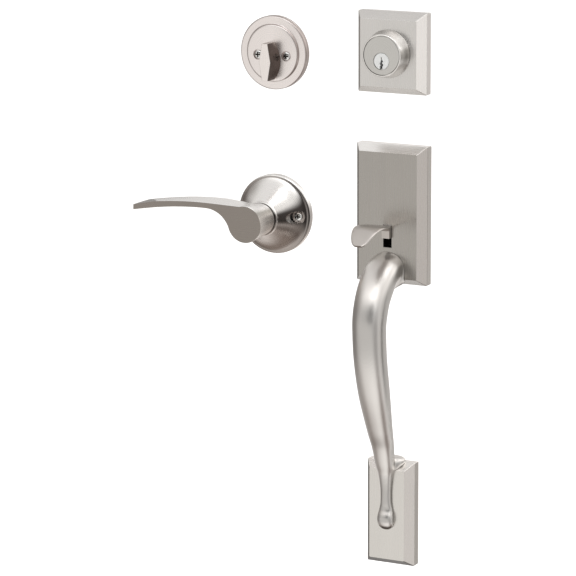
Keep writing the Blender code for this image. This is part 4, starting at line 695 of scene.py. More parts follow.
# %% Lofts
def lofted(rings):
    """Tube through rings that have as many points each, closed at both ends."""
    bm = bmesh.new()
    loop = bmesh.ops.create_circle(bm, segments=len(rings[0]), radius=1.0)["verts"]
    edges = list(bm.edges)
    for vert, point in zip(loop, rings[0]):
        vert.co = point
    for ring in rings[1:]:
        grown = bmesh.ops.extrude_edge_only(bm, edges=edges)["geom"]
        fresh = {item for item in grown if isinstance(item, bmesh.types.BMVert)}
        edges = [item for item in grown if isinstance(item, bmesh.types.BMEdge)
                 and item.verts[0] in fresh and item.verts[1] in fresh]
        loop = [next(edge.other_vert(vert) for edge in vert.link_edges
                     if edge.other_vert(vert) in fresh) for vert in loop]
        for vert, point in zip(loop, ring):
            vert.co = point
    bmesh.ops.holes_fill(bm, edges=[edge for edge in bm.edges if edge.is_boundary])
    bmesh.ops.recalc_face_normals(bm, faces=bm.faces)
    return bm


# %% Plug and keyway
PLUG_CHAMFER = 0.35 * MM
KEYWAY = [
    # down one side and up the other, as (x, z) from the plug's centre in mm
    (0.5, 3.4), (0.5, 1.4), (1.4, 0.8), (1.5, -0.5), (0.6, -1.0), (0.6, -1.7), (1.8, -2.2),
    (1.8, -3.7), (1.1, -4.1), (1.2, -8.6), (-1.5, -8.6), (-1.5, -4.2), (-0.9, -3.7),
    (-0.9, -3.0), (-1.6, -2.6), (-1.6, -1.3), (-0.7, -0.8), (-0.7, 0.4), (-0.3, 1.0),
    (-0.5, 3.4),
]
PLUG_METAL = satin("plug_nickel", (0.76, 0.77, 0.77), 0.30, metallic=0.45)
plug = turned([(0, bolt_front), (PLUG_FLANGE - PLUG_CHAMFER, bolt_front),
               (PLUG_FLANGE, bolt_front + PLUG_CHAMFER),
               (PLUG_FLANGE, bolt_front + PLUG_FLANGE_DEPTH),
               (plug_radius, bolt_front + PLUG_FLANGE_DEPTH), (plug_radius, barrel_back),
               (0, barrel_back)], steps=96)
keyway = lofted([[(x * MM, depth, z * MM) for x, z in KEYWAY]
                 for depth in (bolt_front - PAST, barrel_back + PAST)])
bores = [bar((0, pin.y, 0), (0, pin.y, 2 * plug_radius), PIN_CHAMBER, 24) for pin in pins]
piece("plug_fine", placed(combined(plug, keyway, *bores), z=plug_z), "key_plug", PLUG_METAL,
      weighted=True)

# %% [markdown]
# ## Screws
# Every screw is turned and gets a cross recess. Its place, its length and its head's radius
# come from the CAD node's box, and the head is at the front or at the back of that box. The
# recess is painted dark face by face, as painted shade, since it lies in shade.

# %% Screws
HEAD_DOME = 0.45
CROSS_ARM = 0.68
CROSS_SLOT = 0.19
CROSS_DEPTH = 0.75
TIP_TAPER = 0.5
RECESS_REACH = 0.8
UPRIGHT_WALL = 0.2
SCREW_METAL = satin("screw_nickel", (0.85, 0.85, 0.84), 0.20, strength=0.03)
# Painted shade, for the screws' cross recesses and for the spigot in the gap behind the lever.
PAINTED_SHADE_METAL = satin("painted_shade_dark", (0.06, 0.055, 0.05), 0.35, strength=0.03)
ZINC_METAL = satin("zinc_plated_steel", (0.66, 0.67, 0.66), 0.34, strength=0.10)
SCREWS = {
    # head's height and shank's radius in mm, whether the head is at the front, metal
    "thumbturn_screw_": (2.2, 2.0, True, SCREW_METAL),
    "lever_screw_": (2.2, 2.0, True, SCREW_METAL),
    "grip_screw_": (2.2, 2.0, False, ZINC_METAL),
    "bracket_screw_": (1.4, 1.2, False, ZINC_METAL),
    "back_plate_screw_": (1.4, 1.2, False, ZINC_METAL),
}


def cross_screw(name, head_height, shank, head_first, metal):
    """Screw with a domed head, a cross recess and a pointed shank."""
    low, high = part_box(name)
    at, radius = (low + high) / 2, (high.x - low.x) / 2
    head_y, tip_y, way = (low.y, high.y, 1) if head_first else (high.y, low.y, -1)
    neck_y = head_y + way * head_height
    dome = [(radius * math.sin(math.pi / 2 * t),
             head_y + way * HEAD_DOME * head_height * (1 - math.cos(math.pi / 2 * t)))
            for t in shares(8)]
    arm, slot = CROSS_ARM * radius, CROSS_SLOT * radius
    depth = (head_y - way * PAST, head_y + way * CROSS_DEPTH * head_height)
    bm = combined(turned([*dome, (radius, neck_y), (shank, neck_y),
                          (shank, tip_y - way * shank * TIP_TAPER), (shank * TIP_TAPER, tip_y),
                          (0, tip_y)], steps=48),
                  block((-arm, arm), depth, (-slot, slot)),
                  block((-slot, slot), depth, (-arm, arm)))
    screw = piece(name + "_fine", placed(bm, x=at.x, z=at.z), name, metal)
    screw.data.materials.append(PAINTED_SHADE_METAL)
    for face in screw.data.polygons:
        out = math.hypot(face.center.x - at.x, face.center.z - at.z)
        in_head = abs(face.center.y - head_y) < RECESS_REACH * head_height
        is_wall = abs(face.normal.y) < UPRIGHT_WALL and out < RECESS_REACH * radius
        is_floor = abs(face.center.y - depth[1]) < WELD
        # The walls and floor of the recess take the painted shade.
        if in_head and (is_wall or is_floor):
            face.material_index = 1


for side in SIDES:
    for start, (head, shank, head_first, metal) in SCREWS.items():
        cross_screw(start + side, head * MM, shank * MM, head_first, metal)

# %% [markdown]
# ## Thumbturn
# The rose is one turned dome with a step and a groove in its rim. Its profile is written from
# the centre of the face to the rim and back along the inside. Bosses for the screws and two
# rest pads are joined on before the pockets and the holes are cut.

# %% Thumbturn rose
ROSE_EDGE = 5.9 * MM
DOME = 25.0 * MM
DOME_RISE = 2.9 * MM
DOME_FACE = 0.94
DOME_SAG = 0.28
ROSE_WALL = 2.0 * MM
GROOVE = 0.7 * MM
GROOVE_PLACE, GROOVE_HALF = 0.40, 0.08
STEP = [(-0.7, 1.914), (-0.1, 1.45), (0.3, 0.5), (0.9, 0.12)]
RIM_ROUND = [(1.6, 0.0), (0.9, 0.12), (0.35, 0.5), (0.0, 1.1)]
RIM_CHAMFER = 0.2 * MM
INNER_STEP = (2.5 * MM, 0.38)
INNER_FACE = 0.64
POCKET = 4.5 * MM
POCKET_WALL = 1.2 * MM
SCREW_HEAD = 2.2 * MM
SCREW_HOLE = 2.3 * MM
REST_PAD = 3.5 * MM
STEM_HOLE = 5.9 * MM
turn = middle("thumbturn_rose")
rim = reach("thumbturn_rose")
crown = ROSE_EDGE + DOME_RISE
knob_low, knob_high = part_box("turn_knob")
knob_z = (knob_low.z + knob_high.z) / 2
dome = [(DOME * t * DOME_FACE, -crown + DOME_RISE * DOME_SAG * t ** 2) for t in shares(10)]
step = [(DOME + out * MM, -ROSE_EDGE - rise * MM) for out, rise in STEP]
outer = [(rim - inset * MM, -ROSE_EDGE + drop * MM) for inset, drop in RIM_ROUND]
outer += [(rim, -(GROOVE_PLACE + GROOVE_HALF) * ROSE_EDGE),
          (rim - GROOVE, -GROOVE_PLACE * ROSE_EDGE),
          (rim, -(GROOVE_PLACE - GROOVE_HALF) * ROSE_EDGE), (rim, -RIM_CHAMFER),
          (rim - RIM_CHAMFER, 0)]
inner = [(rim - ROSE_WALL, 0), (rim - ROSE_WALL, -ROSE_EDGE + 1.5 * ROSE_WALL),
         (rim - 1.5 * ROSE_WALL, -ROSE_EDGE + ROSE_WALL), (DOME, -ROSE_EDGE + ROSE_WALL),
         (DOME - INNER_STEP[0], -crown + DOME_RISE * INNER_STEP[1] + ROSE_WALL),
         (DOME * INNER_FACE, -crown + ROSE_WALL), (0, -crown + ROSE_WALL)]
screws = [middle("thumbturn_screw_" + side) - turn for side in SIDES]
pocket_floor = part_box("thumbturn_screw_left")[0].y + SCREW_HEAD + CLEAR
pad_z = rim - 1.5 * ROSE_WALL - REST_PAD
rose = joined(turned([*dome, *step, *outer, *inner]),
              *[bar_y(at.x, at.z, -crown + ROSE_WALL / 2, -POCKET_WALL, POCKET + POCKET_WALL)
                for at in screws],
              *[bar_y(0, z, -ROSE_EDGE + CLEAR, 0, REST_PAD) for z in (-pad_z, pad_z)])
rose = combined(rose, *[bar_y(at.x, at.z, -2 * crown, pocket_floor, POCKET, 64) for at in screws],
                *[bar_y(at.x, at.z, -2 * crown, crown, SCREW_HOLE) for at in screws],
                bar_y(0, knob_z - turn.z, -2 * crown, crown, STEM_HOLE, 64))
# The rose's brightness is set for the light on it, and its darker right and top colours are
# painted shade and painted reflection beside the knob.
TURN_METAL = satin("thumbturn_nickel", (0.95, 0.895, 0.88), 0.28, "turned", centre=turn,
                   right=(0.46, 0.40, 0.38), top=(0.44, 0.39, 0.37))
piece("thumbturn_rose_fine", placed(rose, x=turn.x, z=turn.z), "thumbturn_rose", TURN_METAL,
      smooth=32, weighted=True)

# %% [markdown]
# The knob is a loft: its front is two straight sides that meet at a ridge, and its base bulges.
# Each ring of the loft has its own roundness, so the flanks change smoothly from one shape to
# the other. The last rings shrink along a quarter circle and round the front edge.

# %% Thumbturn knob
KNOB_FRONT_WIDTH = 11.2 * MM
KNOB_END_WIDTH = 5.6 * MM
KNOB_ROUND = 0.5 * MM
BASE_ROUNDNESS = 2.0
STEM = 5.6 * MM
STEM_SINK = 2.0 * MM
CLIP_GROOVE = 1.1 * MM
TAIL_SLOT = (3.8 * MM, 11.0 * MM, 1.4 * MM)


def knob_ring(middle_width, end_width, length, y, roundness, count=24):
    """Outline of the knob at one depth: straight sides at roundness 1, bulging ones at 2."""
    half = length / 2
    side = []
    for share in shares(count):
        z = -half + length * share
        bulge = 1 - abs(z / half) ** roundness
        side.append(((end_width + (middle_width - end_width) * bulge) / 2, z))
    return [(x, y, z) for x, z in side] + [(-x, y, z) for x, z in reversed(side)]


knob_length = knob_high.z - knob_low.z
knob_base_width = knob_high.x - knob_low.x
base_y = -crown - CLEAR
edge_y = knob_low.y + KNOB_ROUND
rings = [knob_ring(knob_base_width + (KNOB_FRONT_WIDTH - knob_base_width) * t, KNOB_END_WIDTH,
                   knob_length, base_y + (edge_y - base_y) * t, BASE_ROUNDNESS - t)
         for t in shares(12)]
for share in (0.3, 0.6, 1.0):
    inset = 2 * KNOB_ROUND * (1 - math.sqrt(1 - share ** 2))
    rings.append(knob_ring(KNOB_FRONT_WIDTH - inset, KNOB_END_WIDTH - inset,
                           knob_length - inset, edge_y - share * KNOB_ROUND, 1.0))
clip_low, clip_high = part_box("stem_clip")
stem_back = knob_high.y
slot_x, slot_depth, slot_z = TAIL_SLOT
shaft = turned([(0, base_y - STEM_SINK), (STEM, base_y - STEM_SINK), (STEM, clip_low.y - CLEAR),
                (STEM - CLIP_GROOVE, clip_low.y - CLEAR),
                (STEM - CLIP_GROOVE, clip_high.y + CLEAR), (STEM, clip_high.y + CLEAR),
                (STEM, stem_back), (0, stem_back)], steps=64)
knob = combined(joined(lofted(rings), shaft),
                block((-slot_x, slot_x), (stem_back - slot_depth, stem_back + PAST),
                      (-slot_z, slot_z)))
# The knob's dark flanks and its top colour are painted reflection and painted shade.
KNOB_METAL = satin("knob_nickel", (0.98, 0.925, 0.905), 0.26, "upright",
                   side=(0.12, 0.095, 0.085), top=(0.36, 0.31, 0.28))
piece("turn_knob_fine", placed(knob, x=turn.x, z=knob_z), "turn_knob", KNOB_METAL, smooth=28,
      weighted=True)

# %% [markdown]
# ## Lever
# The rose is a trumpet: its rim is a thin band, and its face rises in a hollow curve to the
# neck. The pockets for the two screws and the tiny release hole are cut after the turning.

# %% Lever rose
NECK = 15.2 * MM
NECK_BORE = 12.2 * MM
NECK_LIP = [(0.3, 0.7), (1.0, 0.0)]
LEVER_RIM = [(0.0, 0.0), (0.0, 0.80), (0.15, 0.90), (0.5, 0.98), (1.0, 1.02)]
FLARE_START = 1.9 * MM
FLARE_STEP = 0.3 * MM
FLARE_END = 2.4 * MM
FLARE_POWER = 1.45
HOLLOW_START = 3.6 * MM
HOLLOW_BACK = 4.0 * MM
HOLLOW_FRONT = 8.4 * MM
HOLLOW_POWER = 1.35
LEVER_RIM_WALL = 2.2 * MM
LEVER_POCKET = 5.4 * MM
POCKET_FLOOR = -6.4 * MM
RELEASE_HOLE = 1.1 * MM
lever = middle("lever_rose")
lever_rim = reach("lever_rose")
neck_front = -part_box("lever_rose")[0].y
rim_y = ROSE_EDGE + FLARE_STEP
flare_rise = neck_front - FLARE_END - rim_y
flare_x = lever_rim - FLARE_START
rim_band = [(lever_rim - inset * MM, -share * ROSE_EDGE) for inset, share in LEVER_RIM]
flare = [(flare_x + (NECK - flare_x) * t, -rim_y - flare_rise * t ** FLARE_POWER)
         for t in shares(28)]
lip = [(NECK - inset * MM, -neck_front + drop * MM) for inset, drop in NECK_LIP]
hollow_x = lever_rim - HOLLOW_START
hollow_rise = neck_front - HOLLOW_FRONT - HOLLOW_BACK
hollow = [(NECK_BORE + (hollow_x - NECK_BORE) * t,
           -HOLLOW_BACK - hollow_rise * (1 - t) ** HOLLOW_POWER) for t in shares(8)]
screw_x = [middle("lever_screw_" + side).x - lever.x for side in SIDES]
plate_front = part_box("lever_mounting_plate")[0].y
catch_y = middle("lever_catch").y
rose = joined(turned([*rim_band, *flare, *lip, (NECK_BORE, -neck_front), *hollow,
                      (lever_rim - LEVER_RIM_WALL, -0.4 * ROSE_EDGE),
                      (lever_rim - LEVER_RIM_WALL, 0)]),
              *[bar_y(x, 0, POCKET_FLOOR - SCREW_HEAD, plate_front - CLEAR,
                      LEVER_POCKET + POCKET_WALL) for x in screw_x])
rose = combined(rose, *[bar_y(x, 0, -neck_front, POCKET_FLOOR, LEVER_POCKET, 64)
                        for x in screw_x],
                *[bar_y(x, 0, -neck_front, PAST, SCREW_HOLE) for x in screw_x],
                bar((NECK_BORE - PAST, catch_y, 0), (NECK + PAST, catch_y, 0), RELEASE_HOLE, 32))
# The rose's dark nickel is set for the light on it, and its almost black right side and its wall,
# upward, downward and under colours are painted reflection and painted shade.
LEVER_ROSE_METAL = satin("lever_rose_nickel", (0.43, 0.395, 0.375), 0.28, "turned", centre=lever,
                         right=(0.055, 0.048, 0.045), wall=(0.50, 0.47, 0.45),
                         upward=(0.90, 0.88, 0.86), downward=(0.43, 0.385, 0.36),
                         under=(0.86, 0.79, 0.745))
piece("lever_rose_fine", placed(rose, x=lever.x, z=lever.z), "lever_rose", LEVER_ROSE_METAL,
      smooth=32)

# %% [markdown]
# The lever is a hub that narrows toward the rose and a blade that leaves it in one sweep. The
# blade's two long lines are smooth curves through a few points, given as shares of its length
# and of its rise. A fillet below carries the blade's underside into the hub.

# %% Lever lines
HUB = 16.2 * MM
HUB_REAR = 14.0 * MM
HUB_EDGE = 0.7 * MM
HUB_GAP = 1.5 * MM
BLADE_THICKNESS = 5.3 * MM
BLADE_DEPTH = 27.0 * MM
BLADE_RISE = 13.9 * MM
BLADE_TAPER = 0.12
FILLET = 24.0 * MM
hub_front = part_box("lever_handle")[0].y
hub_rear = -(neck_front + HUB_GAP)
blade_length = lever.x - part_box("lever_handle")[0].x


def spline(points, per_span):
    """Smooth Catmull-Rom curve through rows of numbers."""
    rows = [Vector(point) for point in points]
    padded = [2 * rows[0] - rows[1], *rows, 2 * rows[-1] - rows[-2]]
    curve = []
    for a, b, c, d in zip(padded, padded[1:], padded[2:], padded[3:]):
        for step in range(per_span):
            t = step / per_span
            curve.append(0.5 * (2 * b + (c - a) * t + (2 * a - 5 * b + 4 * c - d) * t * t
                                + (3 * b - a - 3 * c + d) * t ** 3))
    return curve + [rows[-1]]


def line_at(line, share):
    """Height of a line at a share of its length, between its two nearest points."""
    for near, far in zip(line, line[1:]):
        if near.x <= share <= far.x:
            return near.y + (far.y - near.y) * (share - near.x) / (far.x - near.x)
    return line[0].y if share < line[0].x else line[-1].y


UPPER_LINE = spline([(0.15, 0.955), (0.3, 0.99), (0.45, 1.0), (0.62, 0.945), (0.77, 0.845),
                     (0.9, 0.73), (1.0, 0.63)], 6)
LOWER_LINE = spline([(0.15, 0.955), (0.3, 0.99), (0.45, 0.99), (0.62, 0.91), (0.77, 0.78),
                     (0.9, 0.62), (1.0, 0.475)], 6)
print("blade length in mm", round(blade_length / MM, 1))

# %% Blade rings
ROOT = 0.25
ROOT_SINK = 0.1 * MM
HUB_BLEND = 0.3
CORE_CORNER = (0.3, -0.2)


def hub_radius(y):
    """Radius of the hub at a depth."""
    share = (y - hub_front - HUB_EDGE) / (hub_rear - hub_front - HUB_EDGE)
    return HUB + (HUB_REAR - HUB) * min(max(share, 0.0), 1.0)


def blade_ring(y, length, inset):
    """Outline of the blade at one depth: out along its top, back below and round the fillet."""
    half = BLADE_THICKNESS / 2 - inset
    hub = hub_radius(y)
    reach_out = length - inset
    begin = ROOT * HUB
    top = [(begin, math.sqrt((hub - inset) ** 2 - begin ** 2) - ROOT_SINK)]
    top += [(point.x * reach_out, BLADE_RISE * point.y + half * (1 - BLADE_TAPER * point.x)
             - (HUB - hub) * max(0.0, 1 - point.x / HUB_BLEND)) for point in UPPER_LINE]
    centre_z = BLADE_RISE - half - FILLET
    centre_u = math.sqrt((hub - inset + FILLET) ** 2 - centre_z ** 2)
    under = []
    for t in shares(30)[1:]:
        share = (centre_u + (reach_out - centre_u) * t) / reach_out
        under.append((share * reach_out, BLADE_RISE * line_at(LOWER_LINE, share)
                      - half * (1 - BLADE_TAPER * share)))
    sweep = math.atan2(-centre_z, -centre_u) - math.pi / 2
    fillet = [(centre_u + FILLET * math.cos(math.pi / 2 + sweep * t),
               centre_z + FILLET * math.sin(math.pi / 2 + sweep * t)) for t in shares(24)]
    core = [(CORE_CORNER[0] * HUB, CORE_CORNER[1] * HUB)]
    return [(-u, y, z) for u, z in top + under[::-1] + fillet + core]


# %% [markdown]
# The outline is drawn at several depths and lofted, and its tip is planed off along a slanting
# crease through three points. Hub and blade are joined, and the socket for the sleeve is bored
# from behind. Last, the planed facet gets a copy of the nickel with its own brightness, painted
# for the light on it, and the spigot gets the screws' dark metal, painted shade, because it is
# seen only in the dark gap between hub and rose.

# %% Blade
TIP_CUT = 11.5 * MM
FACET_START = 24.0 * MM
TIP_HEIGHT = 0.475
DEPTHS = [
    # share of the blade's depth, steps of HUB_EDGE further back, inset in HUB_EDGE, cut-back
    (0.0, 0.0, 1.0, 0.0), (0.0, 0.2, 0.4, 0.0), (0.0, 1.0, 0.0, 0.03), (0.25, 0.0, 0.0, 0.16),
    (0.5, 0.0, 0.0, 0.36), (0.75, 0.0, 0.0, 0.66), (1.0, -1.0, 0.0, 1.0), (1.0, 0.0, 1.0, 1.0),
]


def crest(u):
    """Height of the blade's top at a distance from the lever's axis."""
    share = u / blade_length
    return (BLADE_RISE * line_at(UPPER_LINE, share)
            + BLADE_THICKNESS / 2 * (1 - BLADE_TAPER * share))


blade = lofted([blade_ring(hub_front + share * BLADE_DEPTH + further * HUB_EDGE,
                           blade_length - cut_back * TIP_CUT, inset * HUB_EDGE)
                for share, further, inset, cut_back in DEPTHS])
near = Vector((FACET_START - blade_length, hub_front, crest(blade_length - FACET_START)))
tip = Vector((-blade_length, hub_front,
              BLADE_RISE * TIP_HEIGHT + BLADE_THICKNESS / 2 * (1 - BLADE_TAPER)))
far = Vector((TIP_CUT - blade_length, hub_front + BLADE_DEPTH, crest(blade_length - TIP_CUT)))
facet = (tip - near).cross(far - near).normalized()
facet *= math.copysign(1.0, facet.z)
bmesh.ops.bisect_plane(blade, geom=blade.verts[:] + blade.edges[:] + blade.faces[:], dist=WELD,
                       plane_co=near, plane_no=facet, clear_outer=True)
bmesh.ops.holes_fill(blade, edges=[edge for edge in blade.edges if edge.is_boundary])
bmesh.ops.recalc_face_normals(blade, faces=blade.faces)
print("blade faces", len(blade.faces))

# %% Lever handle
SPIGOT = NECK_BORE - CLEAR
SPIGOT_LENGTH = 7.0 * MM
HUB_REAR_ROUND = 0.3 * MM
SOCKET = 8.9 * MM
SOCKET_DEPTH = 20.0 * MM
SOCKET_FIT = 0.02 * MM
CATCH_HOLE = 1.8 * MM
ON_FACET = 0.9995
# The lever's dark nickel is set for the light that falls on it, and its side, top, crown and
# under colours are painted reflection and painted shade. The facet's nickel is a copy with its
# own brightness, painted for the light on the planed facet.
LEVER_METAL = satin("lever_nickel", (0.315, 0.284, 0.26), 0.28, "along",
                    side=(0.66, 0.62, 0.58), top=(0.39, 0.37, 0.34),
                    crown=(0.96, 0.95, 0.94), under=(0.95, 0.90, 0.85))
FACET_METAL = satin("lever_tip_nickel", (0.37, 0.35, 0.335), 0.28, "along")
socket_y, spigot_y = hub_rear - SOCKET_DEPTH, hub_rear + SPIGOT_LENGTH
hub = turned([(0, hub_front), (HUB - HUB_EDGE, hub_front),
              (HUB - 0.4 * HUB_EDGE, hub_front + 0.2 * HUB_EDGE), (HUB, hub_front + HUB_EDGE),
              (HUB_REAR, hub_rear - HUB_REAR_ROUND), (HUB_REAR - HUB_REAR_ROUND, hub_rear),
              (SPIGOT, hub_rear), (SPIGOT, spigot_y), (SOCKET, spigot_y), (SOCKET, socket_y),
              (0, socket_y)])
handle = combined(joined(hub, blade),
                  bar_y(0, 0, socket_y, spigot_y + PAST, SOCKET - SOCKET_FIT, 128),
                  bar((SOCKET - PAST, catch_y, 0), (SPIGOT + PAST, catch_y, 0), CATCH_HOLE, 24))
handle = piece("lever_handle_fine", placed(handle, x=lever.x, z=lever.z), "lever_handle",
               LEVER_METAL, smooth=24, weighted=True)
handle.data.materials.append(FACET_METAL)
handle.data.materials.append(PAINTED_SHADE_METAL)
for face in handle.data.polygons:
    out = math.hypot(face.center.x - lever.x, face.center.z - lever.z)
    # The planed facet takes its copy of the nickel, painted for the light on it.
    if face.normal.dot(facet) > ON_FACET and face.center.x < lever.x - blade_length / 2:
        face.material_index = 1
    # The spigot, seen only in the dark gap behind the hub, takes the painted shade.
    if face.center.y > hub_rear + WELD and SOCKET + CLEAR < out < SPIGOT + WELD:
        face.material_index = 2

# %% [markdown]
# ## Grip
# The grip is a loft of squared ovals along a bowed centre line. Each row of the tables below is
# a share of the way down, how far the bow stands out, and the section's width and depth. The
# rows become a smooth curve, and each section is set square to it.

# %% Grip sections
STANDOFF = 35.5 * MM
GRIP_WIDTH = 30.0 * MM
GRIP_DEPTH = 22.0 * MM
GRIP_SQUARE = 2.5
ARM = [(-0.002, -0.14, 1.03, 1.12), (0.0, 0.0, 1.03, 1.12), (0.004, 0.11, 1.03, 1.12),
       (0.014, 0.24, 1.03, 1.11), (0.043, 0.465, 1.03, 1.09), (0.089, 0.676, 1.03, 1.07),
       (0.141, 0.845, 1.01, 1.04), (0.204, 0.958, 1.0, 1.02), (0.273, 1.0, 0.98, 0.99),
       (0.428, 0.932, 0.967, 0.98), (0.612, 0.715, 0.92, 0.93), (0.796, 0.42, 0.767, 0.76),
       (0.9, 0.225, 0.66, 0.66)]
TAIL = [(0.0, 0.1, 0.56, 0.55), (0.16, 0.055, 0.43, 0.43), (0.38, 0.034, 0.34, 0.33),
        (0.58, 0.032, 0.34, 0.30), (0.7, 0.028, 0.43, 0.27), (0.82, 0.06, 0.51, 0.40),
        (0.91, 0.05, 0.49, 0.38), (0.97, 0.015, 0.36, 0.27), (1.0, -0.02, 0.14, 0.14)]


def oval(angle, power, power_below=None):
    """Point of a squared circle; power_below squares the lower half in its own way."""
    across, rise = math.cos(angle), math.sin(angle)
    if power_below and rise < 0:
        power = power_below
    size = (abs(across) ** power + abs(rise) ** power) ** (-1 / power)
    return across * size, rise * size


def section(centre, normal, width, depth, sides=56):
    """Ring of a squared oval whose depth lies along a normal."""
    ring = []
    for n in range(sides):
        across, out = oval(math.tau * (n + 0.5) / sides, GRIP_SQUARE)
        ring.append(centre + Vector((width / 2 * across, 0, 0)) + normal * depth / 2 * out)
    return ring


def neighbours(rows, index):
    """The rows before and after one row, or the row itself at an end."""
    return rows[max(index - 1, 0)], rows[min(index + 1, len(rows) - 1)]


face_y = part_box("upper_escutcheon")[0].y
foot_z = middle("grip_screw_left").z
edge_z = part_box("lower_escutcheon")[1].z
end_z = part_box("grip_handle")[0].z
rows = spline([(start + t * (end - start), out * STANDOFF, wide * GRIP_WIDTH, deep * GRIP_DEPTH)
               for table, start, end in ((ARM, foot_z, edge_z), (TAIL, edge_z, end_z))
               for t, out, wide, deep in table], 8)
bow_rings = []
for index, (z, out, width, depth) in enumerate(rows):
    before, after = neighbours(rows, index)
    along = Vector((0, before[1] - after[1], after[0] - before[0])).normalized()
    bow_rings.append(section(Vector((0, face_y - out, z)), Vector((0, along.z, -along.y)), width,
                             depth))
print("grip rings", len(bow_rings))

# %% [markdown]
# A flared heel laps over the upper plate's bevel and a saddle over the lower plate's top. The
# three are joined, remeshed into an even skin and smoothed, so that they flow into one casting.

# %% Heel, saddle and one skin
SIDE_WALL = 8.0 * MM
BEVEL_RUN = 5.9 * MM
BEVEL_RISE = -face_y - SIDE_WALL
HEEL_WIDTH = 33.0 * MM
HEEL_FLARE = 10.0 * MM
HEEL_TOP = 0.43
HEEL_SQUARE = 3.6
SADDLE_WIDTH = 28.4 * MM
SADDLE_OVER = 4.6 * MM
SADDLE_DOWN = 15.0 * MM
SADDLE_BACK = -0.32 * SIDE_WALL
SKIN_VOXEL = 0.75 * MM
SKIN_ROUNDS = 6
HEEL = [
    # how far out, width, drop of the top, rise of the bottom
    (-1.0, 1.0, 0.0, 0.08), (0.0, 1.0, 0.0, 0.13), (0.08, 0.98, 0.03, 0.15),
    (0.4, 0.87, 0.16, 0.27), (0.8, 0.74, 0.4, 0.49), (1.25, 0.63, 0.8, 0.74),
    (1.75, 0.5, 1.3, 0.96),
]
SADDLE = [
    # how far above or below the plate's top edge, width, how far behind the face
    (1.0, 0.62, 0.2), (0.86, 0.88, 0.06), (0.5, 1.0, -0.02), (0.0, 0.96, -0.08),
    (-0.2, 0.83, -0.12), (-0.4, 0.69, -0.15), (-0.66, 0.56, -0.17), (-1.0, 0.44, -0.18),
]


def heel_ring(width, top, bottom, y, sides=72):
    """Ring with a round top and a squared bottom at one depth."""
    centre_z = top - width / 2
    ring = []
    for n in range(sides):
        across, up = oval(math.tau * (n + 0.5) / sides, 2.0, HEEL_SQUARE)
        height = width / 2 if up > 0 else centre_z - bottom
        ring.append((width / 2 * across, y, centre_z + height * up))
    return ring


heel_top = foot_z + HEEL_TOP * HEEL_WIDTH
upper_low_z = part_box("upper_escutcheon")[0].z
heel = lofted([heel_ring(wide * HEEL_WIDTH, heel_top - high * HEEL_FLARE,
                         upper_low_z - low * HEEL_FLARE, face_y - out * BEVEL_RISE)
               for out, wide, high, low in spline(HEEL, 3)])
saddle_rings = []
for along, wide, forward in spline(SADDLE, 3):
    y = face_y * (1 - forward)
    z = edge_z + along * (SADDLE_OVER if along > 0 else SADDLE_DOWN)
    saddle_rings.append(section(Vector((0, (y + SADDLE_BACK) / 2, z)), Vector((0, 1, 0)),
                                wide * SADDLE_WIDTH, SADDLE_BACK - y))
skin = applied(joined(lofted(bow_rings), heel, lofted(saddle_rings)), "REMESH", mode="VOXEL",
               voxel_size=SKIN_VOXEL)
for _ in range(SKIN_ROUNDS):
    bmesh.ops.smooth_vert(skin, verts=skin.verts, factor=0.5, use_axis_x=True, use_axis_y=True,
                          use_axis_z=True)
print("grip skin", len(skin.faces))

# %% [markdown]
# The plates' outlines, grown by a hair of clearance, are cut away from the skin, so its feet
# fit the bevels. The holes for the screws and the stud are bored from behind.

# %% Fit the grip to its plates
STUD_HOLE = 2.8 * MM


def plate_envelope(name):
    """Outside of a bevelled plate, grown by the clearance."""
    low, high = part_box(name)
    half_w = (high.x - low.x) / 2 + CLEAR
    half_h = (high.z - low.z) / 2 + CLEAR
    slope = math.hypot(BEVEL_RUN, BEVEL_RISE)
    shoulder = -SIDE_WALL - CLEAR * (slope - BEVEL_RISE) / BEVEL_RUN
    top = face_y - CLEAR
    run = BEVEL_RUN * (shoulder - top) / BEVEL_RISE
    layers = ((half_w, half_h, SIDE_WALL), (half_w, half_h, shoulder),
              (half_w - run, half_h - run, top))
    return placed(lofted([[(x, y, -z), (x, y, z), (-x, y, z), (-x, y, -z)]
                          for x, z, y in layers]), x=middle(name).x, z=middle(name).z)


holes = [bar_y(middle(name).x, middle(name).z, face_y + PAST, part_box(name)[0].y - CLEAR, radius,
               32)
         for name, radius in (("grip_screw_left", SCREW_HOLE), ("grip_screw_right", SCREW_HOLE),
                              ("foot_stud", STUD_HOLE))]
# The grip's flank, upward, downward and under colours are painted reflection and painted shade.
GRIP_METAL = satin("cast_grip_nickel", (0.62, 0.605, 0.59), 0.35, strength=0.015,
                   flank=(0.50, 0.485, 0.465), upward=(0.80, 0.77, 0.74),
                   downward=(0.93, 0.905, 0.88), under=(0.20, 0.18, 0.165))
grip = combined(skin, plate_envelope("upper_escutcheon"), plate_envelope("lower_escutcheon"),
                *holes)
piece("grip_fine", grip, "grip_handle", GRIP_METAL, smooth=40)

# %% [markdown]
# ## Thumb piece
# The pad is a dished loft that widens from its neck and droops at the tip. Each row of the
# table is a share of its length, its lift and its width.

# %% Thumb pad
PAD_LENGTH = 57.0 * MM
PAD_WIDTH = 26.4 * MM
PAD_THICKNESS = 3.2 * MM
PAD_LIFT = 4.8 * MM
PAD_DISH = 0.6 * MM
PAD_SQUARE = 0.7
TIP_START, TIP_THINNING = 0.9, 3.0
TANG_TOP = -8.3 * MM
PAD = [(0.0, 0.0, 0.28), (0.07, 0.13, 0.38), (0.19, 0.44, 0.61), (0.33, 0.74, 0.8),
       (0.47, 0.97, 0.95), (0.57, 1.06, 1.0), (0.68, 1.0, 0.96), (0.78, 0.67, 0.88),
       (0.86, 0.1, 0.77), (0.92, -0.5, 0.65), (0.97, -1.05, 0.5), (1.0, -1.38, 0.32)]


def squared(share):
    """Pushes a sine or cosine outward, which squares the circle that it draws."""
    return math.copysign(abs(share) ** PAD_SQUARE, share)


